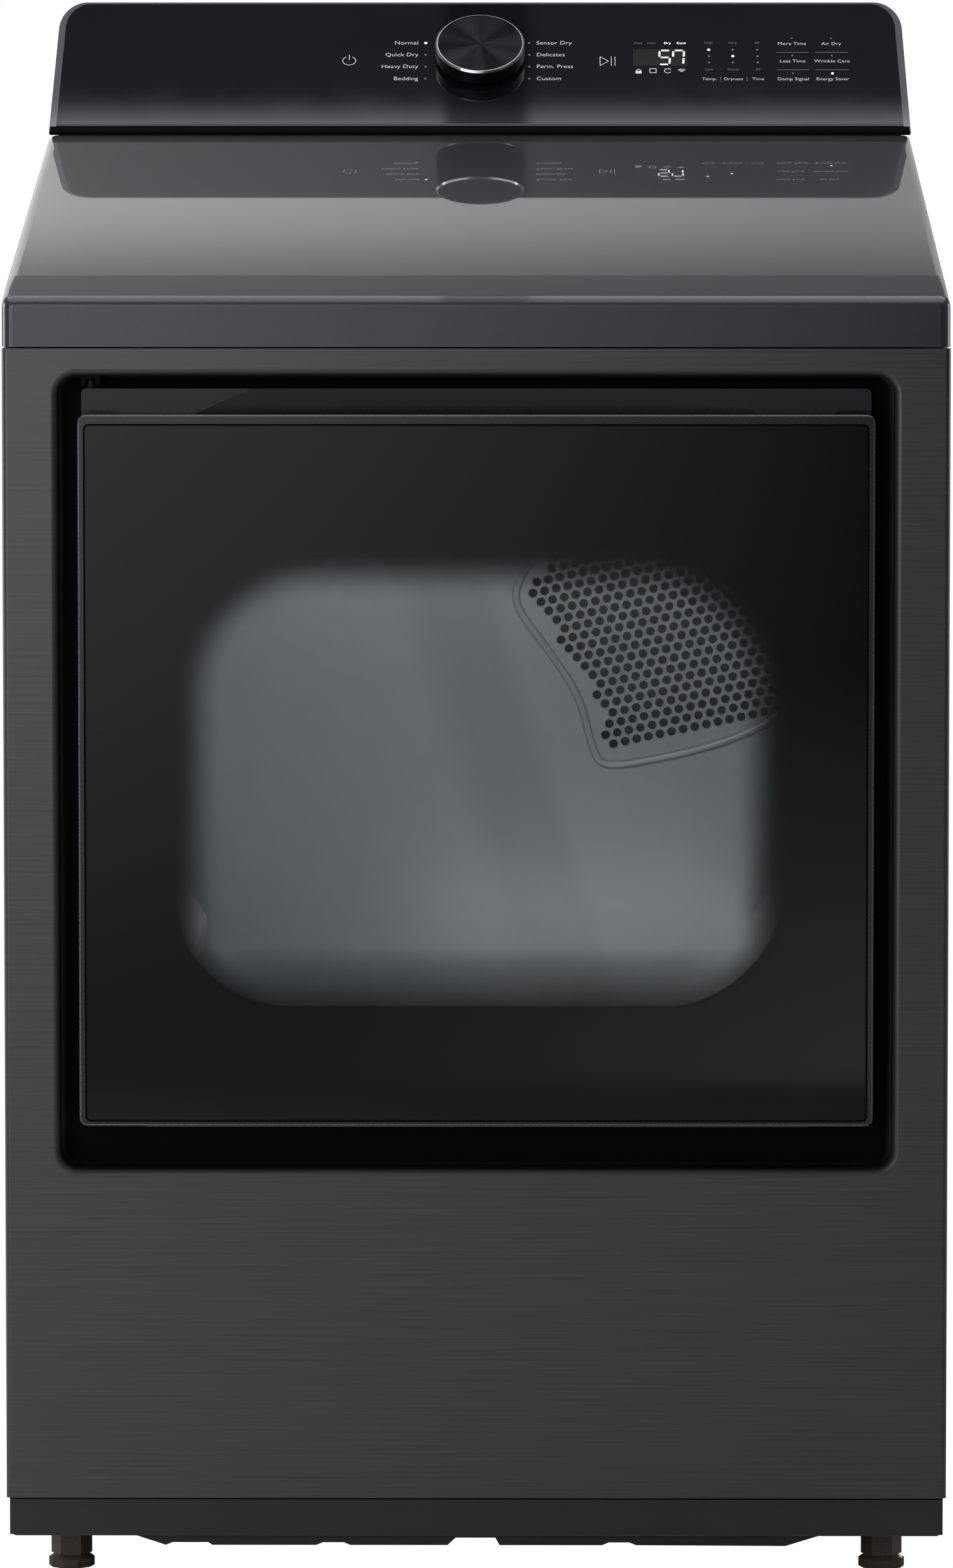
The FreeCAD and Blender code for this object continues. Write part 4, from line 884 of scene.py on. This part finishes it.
drumLow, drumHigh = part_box("drum_shell")
plateY = drumHigh[1] + 0.006
grille = {"outline": ((0.048, 0.712), (0.024, 0.676), (0.034, 0.655), (0.069, 0.611), (0.085, 0.580),
                      (0.092, 0.535), (0.112, 0.533), (0.262, 0.566), (0.258, 0.640), (0.214, 0.728),
                      (0.150, 0.776), (0.090, 0.774)),
          "bead": 0.0034, "beadStep": 0.004, "margin": 0.013, "hole": 0.0035, "pitch": 0.0096, "turn": 12.0,
          "middle": (0.150, 0.655), "reach": 22, "lip": 0.0006}


# whether a point is inside the outline by the margin
def insideGrille(x, z):
    outline = grille["outline"]
    inside = False
    nearest = 1.0
    for (x0, z0), (x1, z1) in zip(outline, outline[1:] + outline[:1]):
        if (z0 > z) != (z1 > z) and x < x0 + (z - z0) * (x1 - x0) / (z1 - z0):
            inside = not inside
        along = (x - x0) * (x1 - x0) + (z - z0) * (z1 - z0)
        share = min(max(along / ((x1 - x0) ** 2 + (z1 - z0) ** 2), 0.0), 1.0)
        nearest = min(nearest, math.hypot(x - x0 - share * (x1 - x0), z - z0 - share * (z1 - z0)))
    return inside and nearest > grille["margin"]


def makeGrille():
    enamel = finishes["drum_enamel"]
    line = closedLine("grilleLine", [(x, plateY, z) for x, z in grille["outline"]])
    mesh = growMesh("grilleBead", line, beadTree(enamel),
                    {"Radius": grille["bead"], "Step": grille["beadStep"]})
    addPiece(mesh, enamel, "cabinet")
    turn = math.radians(grille["turn"])
    rows = range(-grille["reach"], grille["reach"] + 1)
    holes = []
    for row in rows:
        for column in rows:
            u = (column + 0.5 * (row % 2)) * grille["pitch"]
            v = row * grille["pitch"] * math.sqrt(3) / 2
            x = grille["middle"][0] + u * math.cos(turn) - v * math.sin(turn)
            z = grille["middle"][1] + u * math.sin(turn) + v * math.cos(turn)
            if insideGrille(x, z):
                holes.append((x, plateY, z))
    mesh = growMesh("grilleRims", pointMesh("grilleHoles", holes), ringTree(enamel),
                    {"Radius": grille["hole"] + grille["lip"], "Lip": grille["lip"]})
    addPiece(mesh, enamel, "cabinet")
    print("grille holes:", len(holes))


# points round a rectangle in X and Z with rounded corners, close enough together to sweep along
def loopPoints(left, right, bottom, top, corner, y, step=0.012):
    middles = ((right - corner, top - corner), (left + corner, top - corner),
               (left + corner, bottom + corner), (right - corner, bottom + corner))
    points = []
    for i, (x, z) in enumerate(middles):
        for share in range(7):
            angle = math.radians(90 * i + 15 * share)
            points.append((x + corner * math.cos(angle), y, z + corner * math.sin(angle)))
        ahead = middles[(i + 1) % 4]
        turn = math.radians(90 * (i + 1))
        start = Vector(points[-1])
        end = Vector((ahead[0] + corner * math.cos(turn), y, ahead[1] + corner * math.sin(turn)))
        count = int((end - start).length / step)
        points += [tuple(start.lerp(end, k / count)) for k in range(1, count)]
    return points


doorBeads = {"step": 0.003, "edgeRadius": 0.0014, "edgeCorner": 0.0042, "lipBelow": 0.0023,
             "sealRadius": 0.0014, "sealCorner": 0.0030, "sealProud": 0.0002, "sealGap": 0.0010}


# a satin bead round the outer edge of the door frame, lighter and more metallic than the frame so that it
# paints a highlight along the rounded edge, and the black seal between the frame and the glass
def makeDoorBeads():
    radius = doorBeads["edgeRadius"]
    edge = loopPoints(frameLow[0], frameHigh[0], frameLow[2] + doorBeads["lipBelow"], frameHigh[2],
                      doorBeads["edgeCorner"], frameLow[1] + radius)
    low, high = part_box("door_glass")
    sealRadius = doorBeads["sealRadius"]
    gap = doorBeads["sealGap"]
    seal = loopPoints(low[0] - gap, high[0] + gap, low[2] - gap, high[2] + gap, doorBeads["sealCorner"],
                      low[1] + sealRadius - doorBeads["sealProud"])
    for name, finish, thick, slotName, points in (
            ("frameBead", "frameEdgeHighlight", radius, "frame_plastic", edge),
            ("glassSeal", "sealAndGapShadeBlack", sealRadius, "seal_rubber", seal)):
        mesh = growMesh(name, closedLine(name + "Line", points), beadTree(finishes[finish]),
                        {"Radius": thick, "Step": doorBeads["step"]})
        addPiece(mesh, finishes[finish], "door")
    print("door beads made")


# hexagon screws with flanges stand for the plain heads
def makeScrews():
    steel = finishes["bright_steel"]
    spots = [((low[0] + high[0]) / 2, low[1], (low[2] + high[2]) / 2)
             for low, high in solidBoxes("cabinet_screws")]
    mesh = growMesh("flangeScrews", pointMesh("screwSpots", spots), screwTree(steel), {})
    piece = addPiece(mesh, steel, "cabinet")
    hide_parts("cabinet_screws")
    print("screws:", len(spots))


makeGrille()
makeDoorBeads()
makeScrews()


# the camera and the studio

def makeCamera():
    view = {"place": (0.028, -5.7125, 1.100), "pitch": 4.09, "yaw": 0.297, "lens": 170.23, "shift": -0.12}
    data = bpy.data.cameras.new("viewCamera")
    data.lens = view["lens"]
    data.sensor_width = 36.0
    data.shift_y = view["shift"]
    data.clip_end = 100.0
    camera = newObject("viewCamera", data)
    camera.location = view["place"]
    camera.rotation_euler = (math.radians(90 - view["pitch"]), 0.0, math.radians(view["yaw"]))
    bpy.context.scene.camera = camera


def areaLight(name, place, aim, size, power):
    data = bpy.data.lights.new(name, "AREA")
    data.shape = "RECTANGLE"
    data.size, data.size_y = size
    data.energy = power
    light = newObject(name, data)
    light.location = place
    light.rotation_euler = (Vector(aim) - Vector(place)).to_track_quat("-Z", "Y").to_euler()
    light.visible_camera = False


# plain white to the eye, and the shader to everything else
def whiteToEye(tree, shader, white, output):
    path = addNode(tree, "ShaderNodeLightPath")
    mix = addNode(tree, "ShaderNodeMixShader",
                  {0: path.outputs["Is Camera Ray"], 1: shader.outputs[0], 2: white.outputs[0]})
    feed(tree, mix.outputs[0], output.inputs["Surface"])


def makeFloor():
    bm = bmesh.new()
    bmesh.ops.create_grid(bm, x_segments=1, y_segments=1, size=30.0)
    mesh = closeMesh("studioFloor", bm)
    material, tree, shader = startMaterial("studioFloor")
    # darker to the right, as the front's gloss shows it
    tone = remap(tree, objectAxes(tree)["X"], 0.75, 0.38, -0.6, 0.5)
    feedAll(tree, {"Base Color": mixColors(tree, tone, (0.0, 0.0, 0.0), (1.0, 1.0, 1.02)),
                   "Roughness": 0.9, "Specular IOR Level": 0.1}, shader)
    white = addNode(tree, "ShaderNodeEmission", {"Color": (1.0, 1.0, 1.0, 1.0), "Strength": 1.0})
    whiteToEye(tree, tree.nodes["Principled BSDF"], white, tree.nodes["Material Output"])
    mesh.materials.append(material)
    newObject("studioFloor", mesh)


# an unseen panel of light; glowOf gives its strength over its surface
def lightWall(name, corners, glowOf):
    mesh = bpy.data.meshes.new(name)
    mesh.from_pydata(corners, [], [(0, 1, 2, 3)])
    panel = newObject(name, mesh)
    material = bpy.data.materials.new(name)
    material.use_nodes = True
    tree = material.node_tree
    tree.nodes.clear()
    glow = addNode(tree, "ShaderNodeEmission", {"Strength": glowOf(tree, objectAxes(tree))})
    addNode(tree, "ShaderNodeOutputMaterial", {"Surface": glow.outputs[0]})
    mesh.materials.append(material)
    panel.visible_camera = False
    panel.visible_shadow = False


# a wide panel over the machine, brightest just before its rear edge
def makeOverheadSoftbox():
    box = {"height": 2.4, "front": -1.6, "edge": 0.365, "fade": 0.05, "rear": 1.6, "halfX": 1.5,
           "wash": 1.1, "strip": 4.6, "stripFront": 0.05, "tail": 0.16, "rearFrom": 0.80, "rearTo": 0.95,
           "rearLeft": 0.73, "rearRight": 0.06, "flag": 0.041, "flagSoft": 0.005, "flagShade": 0.75}

    def glow(tree, spot):
        rise = remap(tree, spot["Y"], box["wash"], box["strip"], box["stripFront"], box["edge"])
        fall = remap(tree, spot["Y"], 1.0, 0.0, box["edge"], box["edge"] + box["fade"])
        soft = mathNode(tree, "POWER", fall, 2.0)
        front = mathNode(tree, "MAXIMUM", mathNode(tree, "MULTIPLY", rise, soft), box["tail"])
        # the rear part lights the console's own image in the cover, more on the left
        behind = remap(tree, spot["Y"], 0.0, 1.0, box["rearFrom"], box["rearTo"])
        rear = mathNode(tree, "MULTIPLY", behind,
                        remap(tree, spot["X"], box["rearLeft"], box["rearRight"], -0.6, 0.18))
        # a narrow flag over the knob shades the glass below it
        flagged = remap(tree, mathNode(tree, "ABSOLUTE", spot["X"]), 1.0 - box["flagShade"], 1.0,
                        box["flag"] - box["flagSoft"], box["flag"] + box["flagSoft"])
        return mathNode(tree, "MULTIPLY", mathNode(tree, "ADD", front, rear), flagged)

    x, z = box["halfX"], box["height"]
    lightWall("overheadSoftbox", [(-x, box["front"], z), (-x, box["rear"], z), (x, box["rear"], z),
                                  (x, box["front"], z)], glow)


# seen only in the gloss of the front: bright on the left above, faint on the right
def makeFrontWall():
    wall = {"y": -3.0, "halfX": 2.4, "low": -0.6, "high": 2.25, "left": 1.5, "base": 0.03,
            "fromX": -1.10, "toX": 0.50, "dimZ": 0.10, "fullZ": 0.95, "right": 0.60}

    def glow(tree, spot):
        side = remap(tree, spot["X"], 1.0, 0.0, wall["fromX"], wall["toX"])
        up = remap(tree, spot["Z"], 0.22, 1.0, wall["dimZ"], wall["fullZ"])
        lower = remap(tree, spot["Z"], 1.0, 0.0, -0.1, 0.45)
        right = remap(tree, spot["X"], 0.0, 1.0, -0.25, 0.45)
        both = mathNode(tree, "ADD", product(tree, side, up, wall["left"]),
                        product(tree, lower, right, wall["right"]))
        return mathNode(tree, "ADD", both, wall["base"])

    x, y = wall["halfX"], wall["y"]
    lightWall("frontWall", [(-x, y, wall["low"]), (x, y, wall["low"]), (x, y, wall["high"]),
                            (-x, y, wall["high"])], glow)


# what the sloping cover mirrors: bright below, dark above, brighter on the left
def makeBackWall():
    wall = {"y": 2.0, "halfX": 2.2, "low": 1.15, "high": 2.6, "full": 1.885, "dark": 2.015, "level": 0.68,
            "above": 0.12}

    def glow(tree, spot):
        up = remap(tree, spot["Z"], wall["level"], wall["above"], wall["full"], wall["dark"])
        up.node.interpolation_type = "SMOOTHSTEP"
        return mathNode(tree, "MULTIPLY", up, remap(tree, spot["X"], 1.38, 0.80, -0.45, 0.45))

    x, y = wall["halfX"], wall["y"]
    lightWall("backWall", [(-x, y, wall["low"]), (-x, y, wall["high"]), (x, y, wall["high"]),
                           (x, y, wall["low"])], glow)


# white to the eye; to the gloss, a soft sky that is bright low behind and dark above and in front
def makeWorld():
    world = bpy.data.worlds.new("studio")
    bpy.context.scene.world = world
    world.use_nodes = True
    tree = world.node_tree
    tree.nodes.clear()
    coords = addNode(tree, "ShaderNodeTexCoord")
    spot = addNode(tree, "ShaderNodeSeparateXYZ", {0: coords.outputs["Generated"]}).outputs
    ramp = addNode(tree, "ShaderNodeValToRGB", {0: spot["Z"]})
    stops = ((0.0, 0.45), (0.12, 0.80), (0.22, 0.60), (0.35, 0.30), (0.50, 0.16), (1.0, 0.10))
    while len(ramp.color_ramp.elements) < len(stops):
        ramp.color_ramp.elements.new(0.5)
    for element, (place, level) in zip(ramp.color_ramp.elements, stops):
        element.position = place
        element.color = (level, level, level * 1.02, 1.0)
    behind = remap(tree, spot["Y"], 0.10, 1.0, -0.2, 0.5)
    left = remap(tree, spot["X"], 1.35, 0.42, -0.9, 0.9)
    backdrop = mixColors(tree, left, (0.0, 0.0, 0.0), ramp.outputs[0])
    backdrop.node.clamp_factor = False
    sky = mixColors(tree, behind, (0.045, 0.045, 0.048), backdrop)
    plain = addNode(tree, "ShaderNodeBackground", {"Color": (1.0, 1.0, 1.0, 1.0), "Strength": 1.0})
    soft = addNode(tree, "ShaderNodeBackground", {"Color": sky})
    whiteToEye(tree, soft, plain, addNode(tree, "ShaderNodeOutputWorld"))


makeCamera()
makeFloor()
makeOverheadSoftbox()
makeFrontWall()
makeBackWall()
makeWorld()
drumFront = drumLow[1] + 0.06
drumBack = drumHigh[1]
# name, place, what it points at, size, power
for lamp in (("drumLamp", (-0.05, drumFront, drumHigh[2] - 0.07), (0.05, drumBack, 0.50), (0.30, 0.04), 3.6),
             ("drumFill", (0.10, drumFront, drumLow[2] + 0.12), (0.12, drumBack, 0.60), (0.30, 0.06), 1.0),
             ("rearFill", (0.8, 4.2, 1.1), (0.0, 0.3, 0.6), (3.0, 1.8), 110.0),
             ("leftFill", (-4.2, 0.9, 1.3), (-0.3, 0.1, 0.6), (1.8, 1.8), 45.0),
             ("rightFill", (4.2, 0.9, 1.3), (0.3, 0.1, 0.6), (1.8, 1.8), 30.0)):
    areaLight(*lamp)
bpy.context.scene.view_settings.view_transform = "Standard"
print("studio ready")
